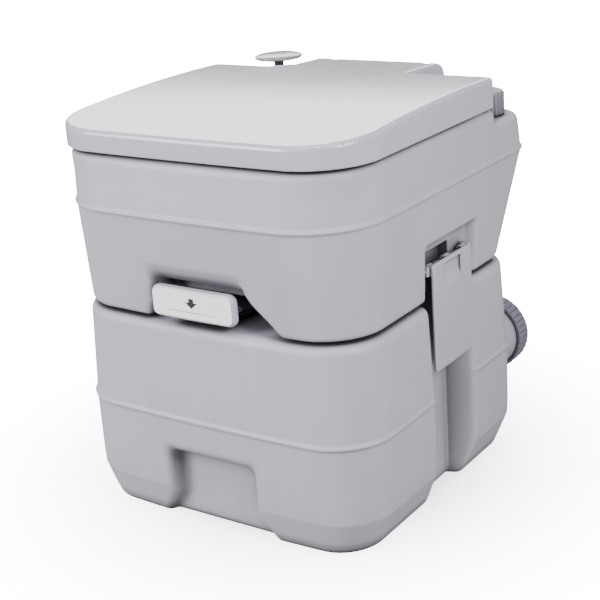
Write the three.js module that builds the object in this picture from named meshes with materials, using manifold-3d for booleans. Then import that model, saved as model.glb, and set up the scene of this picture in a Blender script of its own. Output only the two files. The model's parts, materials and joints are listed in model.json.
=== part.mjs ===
// Portable camp toilet: a waste tank that stands on the ground, a flush-water tank with bowl, seat and
// lid that lifts off it, a slide valve between the two, a piston flush pump and two side latches.
// Millimetres, +Z up, the pull handle faces -Y. The origin is the middle of the waste tank's underside.
import * as THREE from "three";
import { mergeVertices } from "three/addons/utils/BufferGeometryUtils.js";
import Module from "manifold-3d";

const wasm = await Module();
wasm.setup();

// ---- driving dimensions -------------------------------------------------------------------------
const GAP = 0.3; // between pieces that touch
const WALL = 3.5; // blow-moulded tank wall
const SEAM_Z = 221.5; // top of the waste tank
const TANK_GAP = 1.2; // between the two tanks
const DECK_Z = 386; // top deck of the flush-water tank

// Tank outlines: height, half width, front and rear edge, radius of the front and rear corners.
const WASTE_RINGS = [
  { z: 0, half: 164, front: -180, rear: 138, radius: 40, rearRadius: 30 },
  { z: 40, half: 179, front: -191, rear: 152, radius: 55, rearRadius: 42 },
  { z: 118, half: 180.5, front: -193, rear: 152, radius: 58, rearRadius: 42 },
  { z: 122, half: 179.5, front: -192, rear: 151, radius: 58, rearRadius: 42 },
  { z: 210, half: 175.5, front: -188.5, rear: 147, radius: 58, rearRadius: 42 },
  { z: 218, half: 173, front: -186, rear: 144, radius: 56, rearRadius: 40 },
  { z: SEAM_Z, half: 167, front: -180, rear: 138, radius: 52, rearRadius: 36 },
];
// The upper tank leans out over the lower one at the rear.
const FRESH_RINGS = [
  { z: SEAM_Z + TANK_GAP, half: 167, front: -180, rear: 133, radius: 52, rearRadius: 34 },
  { z: 227, half: 172, front: -185, rear: 138, radius: 57, rearRadius: 38 },
  { z: 328, half: 177.5, front: -198, rear: 192, radius: 73, rearRadius: 36 },
  { z: 332, half: 178.5, front: -199.5, rear: 194, radius: 74, rearRadius: 36 },
  { z: 336, half: 177, front: -197.5, rear: 192.5, radius: 73, rearRadius: 36 },
  { z: 362, half: 176, front: -195, rear: 188, radius: 70, rearRadius: 36 },
  { z: 378, half: 175.5, front: -194, rear: 178, radius: 66, rearRadius: 34 },
  { z: DECK_Z, half: 174, front: -192.5, rear: 164, radius: 60, rearRadius: 34 },
];
const FRONT_BOW = 6; // the front faces are crowned by this much

const SIDES = [1, -1]; // right and left, seen from the front
const OUTSIDE = { half: 210, front: -230, below: -1 }; // clear of every wall, for cutters that run out

// How finely curves are cut up.
const CORNER_STEPS = 5;
const FRONT_STEPS = 4;
const OVAL_STEPS = 24;
const ROUND_STEPS = 24;
const SMALL_STEPS = 12;
const SCREW_STEPS = 8;

// Front hand-grip recess in the waste tank.
const GRIP = { half: 57, mouthHalf: 81, floorHalf: 48, depth: 22, top: 82 };
// Side notches of the waste tank, behind the latches. The rear side rounds out in two flats.
const NOTCH = { floorX: 150, front: -42, rear: 18, bend: [160, 38], flare: [172, 52], mouthRear: 66 };

// Slide valve on top of the waste tank, under the bowl.
const VALVE = {
  radius: 48,
  half: 66,
  front: -58,
  rear: 64,
  blade: 56,
  bladeZ: 227,
  bladeThick: 3,
  top: 236,
};
const BLADE_TOP = VALVE.bladeZ + VALVE.bladeThick;
const VALVE_WELL = { half: 74, rear: 74, top: 246 };
// Grooves of the blade's lip seals.
const LIP = { inner: VALVE.radius + 1, outer: VALVE.radius + 6, deep: 2.4 };
const SCREW = { shank: 1.5, hole: 1.8, head: 3, headTop: 2.6, headHigh: 1.7 };
// The recess hugs the handle on the left and flares out towards the seam on the right.
const HANDLE_RECESS = { right: 57, mouthRight: 83, left: 54, mouthLeft: 58, back: -150, top: 274 };
const HANDLE = {
  half: 50,
  front: -194,
  thick: 9,
  bottom: BLADE_TOP + GAP,
  top: 262,
  radius: 7,
  screwX: 16,
  screwY: -166,
};
const SHELF = { half: 28, back: -150, z: BLADE_TOP + GAP, thick: 4 };
const LABEL = { half: 45, border: 5, deep: 1.2 };

// Bowl outline: height, half width and half length of the outside.
const BOWL_Y = -8;
const BOWL_WALL = 3;
const BOWL_RINGS = [
  { z: 240, rx: 51, ry: 51 },
  { z: 262, rx: 58, ry: 60 },
  { z: 305, rx: 84, ry: 96 },
  { z: 350, rx: 101, ry: 121 },
  { z: DECK_Z, rx: 106, ry: 128 },
];
const THROAT_Y = 0; // the bowl's outlet stands over the valve
const BOWL_FLANGE = 9;

// Lid, seat and their common hinge axis along X.
const HINGE = { y: 172, z: 400, pinRadius: 3, eyeRadius: 8.5 };
const LID = {
  half: 178.5,
  front: -193.5,
  rear: 105,
  radius: 65,
  bottom: 388.3,
  top: 410,
  rise: 7,
  wall: 3,
};
const TONGUE = { left: -84, right: 76, cut: 36, wrapOuter: 17, wrapInner: 13.5 };
const SEAT = { half: 171, front: -186, rear: 98, radius: 58, rearRadius: 58, bottom: 391.5, top: 403 };
const SEAT_HOLE = { rx: 99, ry: 120, y: BOWL_Y - 8 };
const BUMPER = { foot: 5, radius: 6 };
const SEAT_BUMPERS = [[138, -120], [-138, -120], [138, 60], [-138, 60]];
const LID_BUMPERS = [[90, -152], [-90, -152]];
const HINGE_STACK = { seat: [34, 44], lid: [46, 54], lug: [56, 64], pin: [33, 66] };
const TROUGH = { left: -90, right: 82, front: 146, floor: 378 };

// Flush pump in the rear left corner, fill neck in the rear right one.
const PUMP = {
  x: -116,
  y: 142,
  tube: 17,
  bore: 14.6,
  collar: 21,
  foot: 322,
  rod: 5.5,
  knob: 28,
  knobTop: 424,
};
const FLUSH = { z: 366, tube: 6, bore: 4.2, hole: 6.4, tubeEnd: 82, hood: 9, hoodEnd: 94, hollow: 6.5 };
const FILL = {
  x: 140,
  y: 142,
  inner: 16.5,
  outer: 21,
  neckTop: 389,
  cap: 27,
  capTop: 396,
  flutes: 14,
};
const FILL_DECK = { front: 109, z: 371 }; // the deck is lower round the fill neck

// Pour-out spout at the rear, along +Y.
const SPOUT = { x: 120, z: 100, inner: 33, outer: 38, flange: 41, inside: 135, end: 203 };
const SPOUT_CAP = { radius: 43, start: 187.5, top: 212, flutes: 16 };
const GASKET = 2.4; // thickness of the two cap gaskets

// Side latches: each swings outward about a steel pin along Y.
const LATCH = { x: 176.5, thick: 4, half: 40, bottom: 149, top: 262, pinX: 171.5, pinZ: 256, pin: 2.5 };
const LATCH_EYE = { radius: 5.5, spans: [[-40, -30], [-5, 5], [30, 40]] };
const LATCH_WINDOW = { y: [-19, 15], z: [238, 257], floor: 1.4 };
const LATCH_HOOK = { half: 18, reach: 7.5, z: [164, 170] };
const LATCH_SPRING = { turns: 4, radius: 3.9, wire: 0.7, pitch: 2.4, start: -26 };
const LATCH_RECESS = { floorX: 163, front: -44, rear: 54, rearMouth: 67, top: 281 };

// ---- materials ----------------------------------------------------------------------------------
const material = (color, roughness, metalness = 0) =>
  new THREE.MeshStandardMaterial({ color, roughness, metalness });
const tankGrey = () => material(0xa9aab0, 0.6);
const lidGrey = () => material(0xb9bcc4, 0.3);
const capGrey = () => material(0x74757f, 0.55);
const darkPlastic = () => material(0x3c3d42, 0.5);
const paleBowl = () => material(0xc9cbd0, 0.25);
const labelWhite = () => material(0xf0f0ee, 0.4);
const rubber = () => material(0x2b2c2e, 0.85);
const steel = () => material(0xb8bbc0, 0.3, 1);

// ---- shape helpers ------------------------------------------------------------------------------
function solid(geometry) {
  const bare = geometry.index ? geometry.toNonIndexed() : geometry.clone();
  bare.deleteAttribute("normal");
  bare.deleteAttribute("uv");
  const merged = mergeVertices(bare, 1e-4);
  return new wasm.Manifold(
    new wasm.Mesh({
      numProp: 3,
      vertProperties: merged.attributes.position.array,
      triVerts: new Uint32Array(merged.index.array),
    }),
  );
}

function geometryOf(manifold) {
  const { vertProperties, triVerts, numProp } = manifold.getMesh();
  const positions = new Float32Array((vertProperties.length / numProp) * 3);
  for (let i = 0; i < positions.length / 3; i++) {
    positions.set(vertProperties.subarray(i * numProp, i * numProp + 3), i * 3);
  }
  const geometry = new THREE.BufferGeometry();
  geometry.setAttribute("position", new THREE.BufferAttribute(positions, 3));
  geometry.setIndex(new THREE.BufferAttribute(new Uint32Array(triVerts), 1));
  return geometry;
}

const box = (x0, x1, y0, y1, z0, z1) =>
  solid(
    new THREE.BoxGeometry(Math.abs(x1 - x0), y1 - y0, z1 - z0).translate(
      (x0 + x1) / 2,
      (y0 + y1) / 2,
      (z0 + z1) / 2,
    ),
  );

// A closed skin over rings of equally many points, lowest first, each counter-clockwise seen from above.
function loft(rings) {
  const count = rings[0].length;
  const positions = rings.flat();
  const faces = [];
  rings.slice(1).forEach((_, level) => {
    for (let i = 0; i < count; i++) {
      const next = (i + 1) % count;
      const low = level * count;
      const high = low + count;
      faces.push(low + i, low + next, high + next, low + i, high + next, high + i);
    }
  });
  const last = (rings.length - 1) * count;
  const cap = THREE.ShapeUtils.triangulateShape(rings[0].map(([x, y]) => new THREE.Vector2(x, y)), []);
  cap.forEach(([a, b, c]) => {
    faces.push(c, b, a);
    faces.push(last + a, last + b, last + c);
  });
  const geometry = new THREE.BufferGeometry();
  geometry.setAttribute("position", new THREE.Float32BufferAttribute(positions.flat(), 3));
  geometry.setIndex(faces);
  return solid(geometry);
}

// A rounded rectangle with a crowned front edge. Grow moves every wall outward.
function tankRing({ z, half, front, rear, radius, rearRadius }, grow = 0) {
  const h = half + grow;
  const frontY = front - grow;
  const rearY = rear + grow;
  const r = radius + grow;
  const rr = rearRadius + grow;
  const corners = [
    [h - r, frontY + r, r, -90],
    [h - rr, rearY - rr, rr, 0],
    [-h + rr, rearY - rr, rr, 90],
    [-h + r, frontY + r, r, 180],
  ];
  const points = corners.flatMap(([cx, cy, turn, start]) =>
    Array.from({ length: CORNER_STEPS + 1 }, (_, i) => {
      const angle = THREE.MathUtils.degToRad(start + (90 * i) / CORNER_STEPS);
      return [cx + turn * Math.cos(angle), cy + turn * Math.sin(angle)];
    }),
  );
  for (let i = 1; i < FRONT_STEPS; i++) {
    points.push([(-h + r) * (1 - (2 * i) / FRONT_STEPS), frontY]);
  }
  return points.map(([x, y]) => [x, y < 0 ? y + FRONT_BOW * (x / h) ** 2 : y, z]);
}

function ovalRing(rx, ry, y, z) {
  return Array.from({ length: OVAL_STEPS }, (_, i) => {
    const angle = (2 * Math.PI * i) / OVAL_STEPS;
    return [rx * Math.cos(angle), y + ry * Math.sin(angle), z];
  });
}

// A ring of the bowl's wall, its centre sliding from the seat opening's to the outlet's.
function bowlRing({ z, rx, ry }, grow) {
  const slide = Math.min(1, (z - BOWL_RINGS[0].z) / (DECK_Z - BOWL_RINGS[0].z));
  return ovalRing(rx + grow, ry + grow, THROAT_Y + (BOWL_Y - THROAT_Y) * slide, z);
}

// A turned piece from [radius, height] points, standing at x, y, with its axis along Z.
function turned(profile, x, y, segments = ROUND_STEPS) {
  const points = profile.map(([r, h]) => new THREE.Vector2(r, h));
  points.push(points[0].clone());
  return solid(new THREE.LatheGeometry(points, segments).rotateX(Math.PI / 2).translate(x, y, 0));
}

const disc = (x, y, radius, z0, z1, segments = ROUND_STEPS) =>
  solid(
    new THREE.CylinderGeometry(radius, radius, z1 - z0, segments)
      .rotateX(Math.PI / 2)
      .translate(x, y, (z0 + z1) / 2),
  );
const tubeZ = (x, y, inner, outer, z0, z1, segments = ROUND_STEPS) =>
  disc(x, y, outer, z0, z1, segments).subtract(disc(x, y, inner, z0 - 1, z1 + 1, segments));
const rodX = (x0, x1, y, z, radius, segments = SMALL_STEPS) =>
  solid(
    new THREE.CylinderGeometry(radius, radius, x1 - x0, segments)
      .rotateZ(Math.PI / 2)
      .translate((x0 + x1) / 2, y, z),
  );
const rodY = (x, y0, y1, z, radius, segments = SMALL_STEPS) =>
  solid(new THREE.CylinderGeometry(radius, radius, y1 - y0, segments).translate(x, (y0 + y1) / 2, z));

const outlineOf = (points) => new THREE.Shape(points.map(([a, b]) => new THREE.Vector2(a, b)));
const extruded = (shape, depth) =>
  new THREE.ExtrudeGeometry(shape, { depth, bevelEnabled: false, curveSegments: 6 });

// Points in X and Y raised from z0 to z1.
const prism = (points, z0, z1) => solid(extruded(outlineOf(points), z1 - z0).translate(0, 0, z0));

// A shape, or points, in Y and Z drawn out from x0 to x1.
function prismX(outline, x0, x1) {
  const shape = Array.isArray(outline) ? outlineOf(outline) : outline;
  return solid(extruded(shape, x1 - x0).rotateX(Math.PI / 2).rotateZ(Math.PI / 2).translate(x0, 0, 0));
}

// A shape in X and Z drawn out from y0 to y1.
const prismY = (shape, y0, y1) =>
  solid(extruded(shape, y1 - y0).rotateX(Math.PI / 2).translate(0, y1, 0));

// The same outline on either side of the middle plane.
const onSide = (side, outline) => outline.map(([x, y]) => [side * x, y]);

const joined = (solids) => solids.reduce((whole, next) => whole.add(next));
const without = (base, cutters) => cutters.reduce((whole, next) => whole.subtract(next), base);

const toilet = new THREE.Group();
toilet.name = "portable_camp_toilet";

function addPiece(name, manifold, finish) {
  const mesh = new THREE.Mesh(geometryOf(manifold), finish);
  mesh.name = name;
  toilet.add(mesh);
}

// ---- waste tank ---------------------------------------------------------------------------------
// What is pressed into the tank's outside. Grow thickens it, to leave a wall behind the recess.
function wasteRecesses(grow) {
  const face = WASTE_RINGS[2].front;
  const gripFloor = face + GRIP.depth + grow;
  const grip = prism(
    [
      [-GRIP.mouthHalf - grow, OUTSIDE.front],
      [GRIP.mouthHalf + grow, OUTSIDE.front],
      [GRIP.half + grow, face],
      [GRIP.floorHalf + grow, gripFloor],
      [-GRIP.floorHalf - grow, gripFloor],
      [-GRIP.half - grow, face],
    ],
    OUTSIDE.below,
    GRIP.top + grow,
  );
  const [bendX, bendY] = NOTCH.bend;
  const [flareX, flareY] = NOTCH.flare;
  const notches = SIDES.map((side) =>
    prism(
      onSide(side, [
        [OUTSIDE.half, NOTCH.front - grow],
        [NOTCH.floorX - grow, NOTCH.front - grow],
        [NOTCH.floorX - grow, NOTCH.rear + grow],
        [bendX - grow, bendY + grow],
        [flareX - grow, flareY + grow],
        [OUTSIDE.half, NOTCH.mouthRear + grow],
      ]),
      OUTSIDE.below,
      SEAM_Z + 1,
    ),
  );
  return [grip, ...notches];
}

function wasteTank() {
  const outside = loft(WASTE_RINGS.map((ring) => tankRing(ring)));
  const topWall = WASTE_RINGS.length - 1;
  const insideZ = (z, i) => Math.min(z, SEAM_Z - WALL - 4 * (topWall - i));
  const inside = loft(
    WASTE_RINGS.map((ring, i) => tankRing({ ...ring, z: i === 0 ? WALL : insideZ(ring.z, i) }, -WALL)),
  );
  const cavity = without(inside, wasteRecesses(WALL));
  const inlet = disc(0, THROAT_Y, VALVE.radius, SEAM_Z - 2 * WALL, SEAM_Z + 1);
  const spoutHole = rodY(SPOUT.x, SPOUT.inside - 20, SPOUT.end, SPOUT.z, SPOUT.outer + GAP, ROUND_STEPS);
  return without(outside, [cavity, inlet, spoutHole, ...wasteRecesses(0)]);
}

// ---- slide valve --------------------------------------------------------------------------------
const screwPlaces = () =>
  SIDES.flatMap((side) =>
    [VALVE.front + 5, VALVE.rear - 6].map((y) => [(side * (VALVE.blade + 1 + VALVE.half)) / 2, y]),
  );

// Cuts the bore, the groove of a lip seal and the screw holes through one half of the valve frame.
const frameHalf = (plate, grooveZ) =>
  without(plate, [
    disc(0, THROAT_Y, VALVE.radius, SEAM_Z, VALVE.top + 1),
    tubeZ(0, THROAT_Y, LIP.inner, LIP.outer, grooveZ - LIP.deep, grooveZ + LIP.deep),
    ...screwPlaces().map(([x, y]) => disc(x, y, SCREW.hole, SEAM_Z, VALVE.top + 1, SCREW_STEPS)),
  ]);

function valveFrameLower() {
  const z1 = VALVE.bladeZ - GAP;
  const plate = box(-VALVE.half, VALVE.half, VALVE.front, VALVE.rear, SEAM_Z + GAP, z1);
  const rails = SIDES.map((side) =>
    box(side * (VALVE.blade + 1), side * VALVE.half, VALVE.front, VALVE.rear, z1 - 0.5, BLADE_TOP),
  );
  return frameHalf(joined([plate, ...rails]), z1);
}

function valveFrameUpper() {
  const z0 = BLADE_TOP + GAP;
  return frameHalf(box(-VALVE.half, VALVE.half, VALVE.front, VALVE.rear, z0, VALVE.top), z0);
}

const lipSeal = (z0, z1) => tubeZ(0, THROAT_Y, LIP.inner + 0.4, LIP.outer - 0.4, z0, z1);

// A pan-head screw whose head rests a gap above headZ.
const screw = (x, y, tipZ, headZ) =>
  turned(
    [
      [0, tipZ],
      [SCREW.shank, tipZ],
      [SCREW.shank, headZ + GAP],
      [SCREW.head, headZ + GAP],
      [SCREW.headTop, headZ + SCREW.headHigh],
      [0, headZ + SCREW.headHigh],
    ],
    x,
    y,
    SCREW_STEPS,
  );

function valveBlade() {
  const plate = box(-VALVE.blade, VALVE.blade, -VALVE.blade, VALVE.blade, VALVE.bladeZ, BLADE_TOP);
  const stem = box(-30, 30, HANDLE.front + HANDLE.thick + 1, 1 - VALVE.blade, VALVE.bladeZ, BLADE_TOP);
  return joined([plate, stem]);
}

// A front bar for the fingers and a shelf screwed down on the blade's stem.
function pullHandle() {
  const { half, front, thick, bottom, top, radius } = HANDLE;
  const bar = new THREE.Shape();
  bar.absarc(half - radius, bottom + radius, radius, -Math.PI / 2, 0);
  bar.absarc(half - radius, top - radius, radius, 0, Math.PI / 2);
  bar.absarc(radius - half, top - radius, radius, Math.PI / 2, Math.PI);
  bar.absarc(radius - half, bottom + radius, radius, Math.PI, 1.5 * Math.PI);
  const shelf = box(-SHELF.half, SHELF.half, front + thick - 1, SHELF.back, SHELF.z, SHELF.z + SHELF.thick);
  const { half: labelHalf, border, deep } = LABEL;
  const labelSeat = box(-labelHalf, labelHalf, front - 1, front + deep, bottom + border, top - border);
  const holes = SIDES.map((side) =>
    disc(
      side * HANDLE.screwX,
      HANDLE.screwY,
      SCREW.hole,
      SHELF.z - 1,
      SHELF.z + SHELF.thick + 1,
      SCREW_STEPS,
    ),
  );
  return without(joined([prismY(bar, front, front + thick), shelf]), [labelSeat, ...holes]);
}

function pullLabel() {
  const edge = LABEL.border + 0.5;
  const back = HANDLE.front + LABEL.deep - GAP;
  const half = LABEL.half - 0.5;
  return box(-half, half, HANDLE.front - 0.2, back, HANDLE.bottom + edge, HANDLE.top - edge);
}

// ---- pour-out spout -----------------------------------------------------------------------------
// A turned piece about the spout's axis from [radius, y] points.
function spoutTurned(profile) {
  const points = profile.map(([r, y]) => new THREE.Vector2(r, y));
  points.push(points[0].clone());
  return solid(new THREE.LatheGeometry(points, ROUND_STEPS).translate(SPOUT.x, 0, SPOUT.z));
}

const spoutNeck = () =>
  spoutTurned([
    [SPOUT.inner, SPOUT.inside],
    [SPOUT.flange, SPOUT.inside],
    [SPOUT.flange, SPOUT.inside + WALL],
    [SPOUT.outer, SPOUT.inside + WALL],
    [SPOUT.outer, SPOUT.end],
    [SPOUT.inner, SPOUT.end],
  ]);

const spoutGasket = () =>
  spoutTurned([
    [SPOUT.inner + 0.5, SPOUT.end + GAP],
    [SPOUT.outer - 0.5, SPOUT.end + GAP],
    [SPOUT.outer - 0.5, SPOUT.end + GAP + GASKET],
    [SPOUT.inner + 0.5, SPOUT.end + GAP + GASKET],
  ]);

// A cap in section, from the gasket's face out over the neck and round the rim.
const capSection = (neckRadius, neckEnd, radius, start, top) => {
  const inside = neckEnd + 2 * GAP + GASKET;
  return [
    [0, inside],
    [neckRadius + 0.8, inside],
    [neckRadius + 0.8, start],
    [radius, start],
    [radius, top - 2.5],
    [radius - 2.5, top],
    [0, top],
  ];
};

// Where the grip flutes stand round a cap: [across, up] from its axis.
const flutePlaces = (count, radius) =>
  Array.from({ length: count }, (_, i) => {
    const angle = (2 * Math.PI * i) / count;
    return [radius * Math.cos(angle), radius * Math.sin(angle)];
  });

function spoutCap() {
  const { radius, start, top, flutes } = SPOUT_CAP;
  const cup = spoutTurned(capSection(SPOUT.outer, SPOUT.end, radius, start, top));
  const cutters = flutePlaces(flutes, radius + 1.2).map(([x, z]) =>
    rodY(SPOUT.x + x, start - 1, top + 1, SPOUT.z + z, 2.6, 6),
  );
  return without(cup, cutters);
}

// ---- flush-water tank ---------------------------------------------------------------------------
// What is pressed into or through the tank. Grow thickens it, to leave a wall behind the recess.
function freshRecesses(grow) {
  const bottom = SEAM_Z - 5;
  const well = loft([
    bowlRing({ ...BOWL_RINGS[0], z: bottom }, 1 + grow),
    ...BOWL_RINGS.map((ring) => bowlRing(ring, 1 + grow)),
    bowlRing({ ...BOWL_RINGS.at(-1), z: DECK_Z + 5 }, 1 + grow),
  ]);
  const wellHalf = VALVE_WELL.half + grow;
  const { right, mouthRight, left, mouthLeft, back, top } = HANDLE_RECESS;
  const wellRear = VALVE_WELL.rear + grow;
  const valveWell = box(-wellHalf, wellHalf, back - 5, wellRear, bottom, VALVE_WELL.top + grow);
  const edge = (half, mouth) => [
    [mouth + grow, bottom],
    [mouth + grow, SEAM_Z + 3],
    [half + 0.4 * (mouth - half) + grow, SEAM_Z + 18],
    [half + grow, top - 18],
    [half - 8 + grow, top + grow],
  ];
  const leftEdge = onSide(-1, edge(left, mouthLeft)).reverse();
  const handleOutline = outlineOf([...edge(right, mouthRight), ...leftEdge]);
  const handleRecess = prismY(handleOutline, OUTSIDE.front, back + grow);
  const troughFloor = TROUGH.floor - grow;
  const trough = box(
    TROUGH.left - grow,
    TROUGH.right + grow,
    TROUGH.front - grow,
    OUTSIDE.half,
    troughFloor,
    DECK_Z + 5,
  );
  const fillDeck = box(
    TROUGH.right - grow,
    OUTSIDE.half,
    FILL_DECK.front - grow,
    OUTSIDE.half,
    FILL_DECK.z - grow,
    DECK_Z + 5,
  );
  const { floorX, front, rear, rearMouth } = LATCH_RECESS;
  const latchRecesses = SIDES.map((side) =>
    prism(
      onSide(side, [
        [OUTSIDE.half, front - grow],
        [floorX - grow, front - grow],
        [floorX - grow, rear + grow],
        [LATCH.x + 1.5, rearMouth + grow],
        [OUTSIDE.half, rearMouth + grow],
      ]),
      bottom,
      LATCH_RECESS.top + grow,
    ),
  );
  return [well, valveWell, handleRecess, trough, fillDeck, ...latchRecesses];
}

// Ears that carry each latch pin, one at either end of the latch.
const latchEars = (side) =>
  [
    [LATCH_RECESS.front - 1, -LATCH.half - 0.8],
    [LATCH.half + 0.8, LATCH.half + 6],
  ].map(([y0, y1]) =>
    box(
      side * (LATCH_RECESS.floorX - 1),
      side * (LATCH.pinX + 4.5),
      y0,
      y1,
      LATCH.pinZ - 5,
      LATCH.pinZ + 5,
    ),
  );

// The two ends of a hinge part, in order, on either side of the middle plane.
const hingeSpan = (side, [near, far]) => (side > 0 ? [near, far] : [-far, -near]);

const hingeEye = (side, span) => rodX(...hingeSpan(side, span), HINGE.y, HINGE.z, HINGE.eyeRadius, 16);
const hingeBore = () => rodX(-70, 70, HINGE.y, HINGE.z, HINGE.pinRadius + GAP);
const hingePin = (side) => rodX(...hingeSpan(side, HINGE_STACK.pin), HINGE.y, HINGE.z, HINGE.pinRadius);

const hingeLugs = () =>
  SIDES.flatMap((side) => [
    hingeEye(side, HINGE_STACK.lug),
    prismX(
      [
        [HINGE.y - 14, TROUGH.floor - 1],
        [HINGE.y - 3, TROUGH.floor - 1],
        [HINGE.y - 4.5, HINGE.z],
        [HINGE.y - 8, HINGE.z + 1],
      ],
      ...hingeSpan(side, HINGE_STACK.lug),
    ),
  ]);

function freshTank() {
  const outside = loft(FRESH_RINGS.map((ring) => tankRing(ring)));
  const floorZ = FRESH_RINGS[0].z + WALL;
  const topWall = FRESH_RINGS.length - 1;
  const insideZ = (z, i) => (i < 2 ? floorZ + 3 * i : Math.min(z, DECK_Z - WALL - 5 * (topWall - i)));
  const inside = loft(FRESH_RINGS.map((ring, i) => tankRing({ ...ring, z: insideZ(ring.z, i) }, -WALL)));
  const cavity = without(inside, freshRecesses(WALL));
  const shell = without(outside, [cavity, ...freshRecesses(0)]);
  const neck = tubeZ(FILL.x, FILL.y, FILL.inner, FILL.outer, FILL_DECK.z - WALL, FILL.neckTop);
  const solids = joined([shell, neck, ...hingeLugs(), ...latchEars(1), ...latchEars(-1)]);
  const latchPinHoles = SIDES.map((side) =>
    rodY(side * LATCH.pinX, -LATCH.half - 8, LATCH.half + 8, LATCH.pinZ, LATCH.pin + GAP),
  );
  return without(solids, [
    disc(FILL.x, FILL.y, FILL.inner, FILL_DECK.z - 12, FILL.neckTop + 1),
    disc(PUMP.x, PUMP.y, PUMP.tube + GAP, DECK_Z - 20, DECK_Z + 1),
    flushLine(FLUSH.hole, 0, FLUSH.tubeEnd - 2),
    hingeBore(),
    ...latchPinHoles,
  ]);
}

function bowl() {
  const rim = BOWL_RINGS.at(-1);
  const outside = loft(BOWL_RINGS.map((ring) => bowlRing(ring, 0)));
  const flangeZ = DECK_Z + GAP;
  const flange = loft([flangeZ, flangeZ + 2].map((z) => bowlRing({ ...rim, z }, BOWL_FLANGE)));
  const collar = loft([DECK_Z - 6, flangeZ + 1].map((z) => bowlRing({ ...rim, z }, -0.2)));
  const inside = loft([
    bowlRing({ ...BOWL_RINGS[0], z: BOWL_RINGS[0].z - 2 }, -BOWL_WALL),
    ...BOWL_RINGS.map((ring) => bowlRing(ring, -BOWL_WALL)),
    bowlRing({ ...rim, z: DECK_Z + 6 }, -BOWL_WALL),
  ]);
  return without(joined([outside, collar, flange]), [inside, flushLine(FLUSH.hole, 40, FLUSH.hoodEnd)]);
}

const bowlSeal = () =>
  tubeZ(0, THROAT_Y, VALVE.radius, VALVE.radius + 5, VALVE.top + GAP, BOWL_RINGS[0].z - GAP);

// ---- seat and lid -------------------------------------------------------------------------------
function seat() {
  const { bottom, top } = SEAT;
  const plate = loft([
    tankRing({ ...SEAT, z: bottom }, -1.5),
    tankRing({ ...SEAT, z: bottom + 4 }),
    tankRing({ ...SEAT, z: top - 4 }),
    tankRing({ ...SEAT, z: top }, -4),
  ]);
  const hole = loft(
    [bottom - 1, top + 1].map((z) => ovalRing(SEAT_HOLE.rx, SEAT_HOLE.ry, SEAT_HOLE.y, z)),
  );
  const armBottom = bottom + 1.5;
  const [armNear, armFar] = HINGE_STACK.seat;
  const bridge = box(-armFar, armFar, SEAT.rear - 6, TROUGH.front, armBottom, top - 1);
  const arms = SIDES.flatMap((side) => [
    box(side * armNear, side * armFar, TROUGH.front - 1, HINGE.y, armBottom, HINGE.z + 2),
    hingeEye(side, HINGE_STACK.seat),
  ]);
  return without(joined([plate, bridge, ...arms]), [hole, hingeBore()]);
}

// The lid's outline: rounded front, square shoulders, a hinge tongue, and a hollow round the pump.
function lidOutline(inset) {
  const h = LID.half - inset;
  const r = LID.radius - inset;
  const y0 = LID.front + inset;
  const shoulder = LID.rear - inset;
  const left = TONGUE.left + inset;
  const right = TONGUE.right - inset;
  const { cut } = TONGUE;
  const shape = new THREE.Shape();
  shape.moveTo(-h + r, y0);
  shape.absarc(h - r, y0 + r, r, -Math.PI / 2, 0);
  shape.lineTo(h, shoulder);
  shape.lineTo(right, shoulder);
  shape.lineTo(right, HINGE.y);
  shape.lineTo(left, HINGE.y);
  shape.absarc(left - cut, shoulder + cut, cut, 0, -Math.PI / 2, true);
  shape.lineTo(-h, shoulder);
  shape.absarc(-h + r, y0 + r, r, Math.PI, 1.5 * Math.PI);
  return shape;
}

// Leans the top of a raised outline back, so that the lid is thicker at its hinge.
function leanedPrism(outline, z0, z1) {
  const settings = { depth: z1 - z0, bevelEnabled: false, curveSegments: 8 };
  const geometry = new THREE.ExtrudeGeometry(outline, settings);
  geometry.translate(0, 0, z0);
  const position = geometry.getAttribute("position");
  for (let i = 0; i < position.count; i++) {
    if (position.getZ(i) > (z0 + z1) / 2) {
      const back = (position.getY(i) - LID.front) / (HINGE.y - LID.front);
      position.setZ(i, position.getZ(i) + LID.rise * back);
    }
  }
  return solid(geometry);
}

function lid() {
  const { left, right, wrapOuter, wrapInner } = TONGUE;
  const { bottom, top, rise, wall } = LID;
  const outside = leanedPrism(lidOutline(0), bottom, top);
  const inside = leanedPrism(lidOutline(wall), bottom - 1, top - wall);
  const openRear = box(left + wall, right - wall, HINGE.y - 10, HINGE.y + 1, bottom - 1, top + 3);
  const wrapEnd = Math.PI / 2 + 0.1;
  const wrap = new THREE.Shape();
  wrap.absarc(HINGE.y, HINGE.z, wrapOuter, 0, wrapEnd);
  wrap.absarc(HINGE.y, HINGE.z, wrapInner, wrapEnd, 0, true);
  const eyes = SIDES.flatMap((side) => {
    const [x0, x1] = hingeSpan(side, HINGE_STACK.lid);
    return [
      hingeEye(side, HINGE_STACK.lid),
      box(x0, x1, HINGE.y - 6, HINGE.y + 5, HINGE.z, top + rise - 1.5),
    ];
  });
  const slots = SIDES.map((side) => {
    const [x0, x1] = hingeSpan(side, HINGE_STACK.lug);
    return box(x0 - 1, x1 + 1, HINGE.y - 3, HINGE.y + 20, bottom - 1, top + 15);
  });
  const shell = outside.subtract(inside).subtract(openRear);
  return without(joined([shell, prismX(wrap, left, right), ...eyes]), [...slots, hingeBore()]);
}

const bumper = ([x, y], z0, z1) =>
  turned(
    [
      [0, z0],
      [BUMPER.foot, z0],
      [BUMPER.radius, z0 + 1],
      [BUMPER.radius, z1],
      [0, z1],
    ],
    x,
    y,
    SMALL_STEPS,
  );

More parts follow.
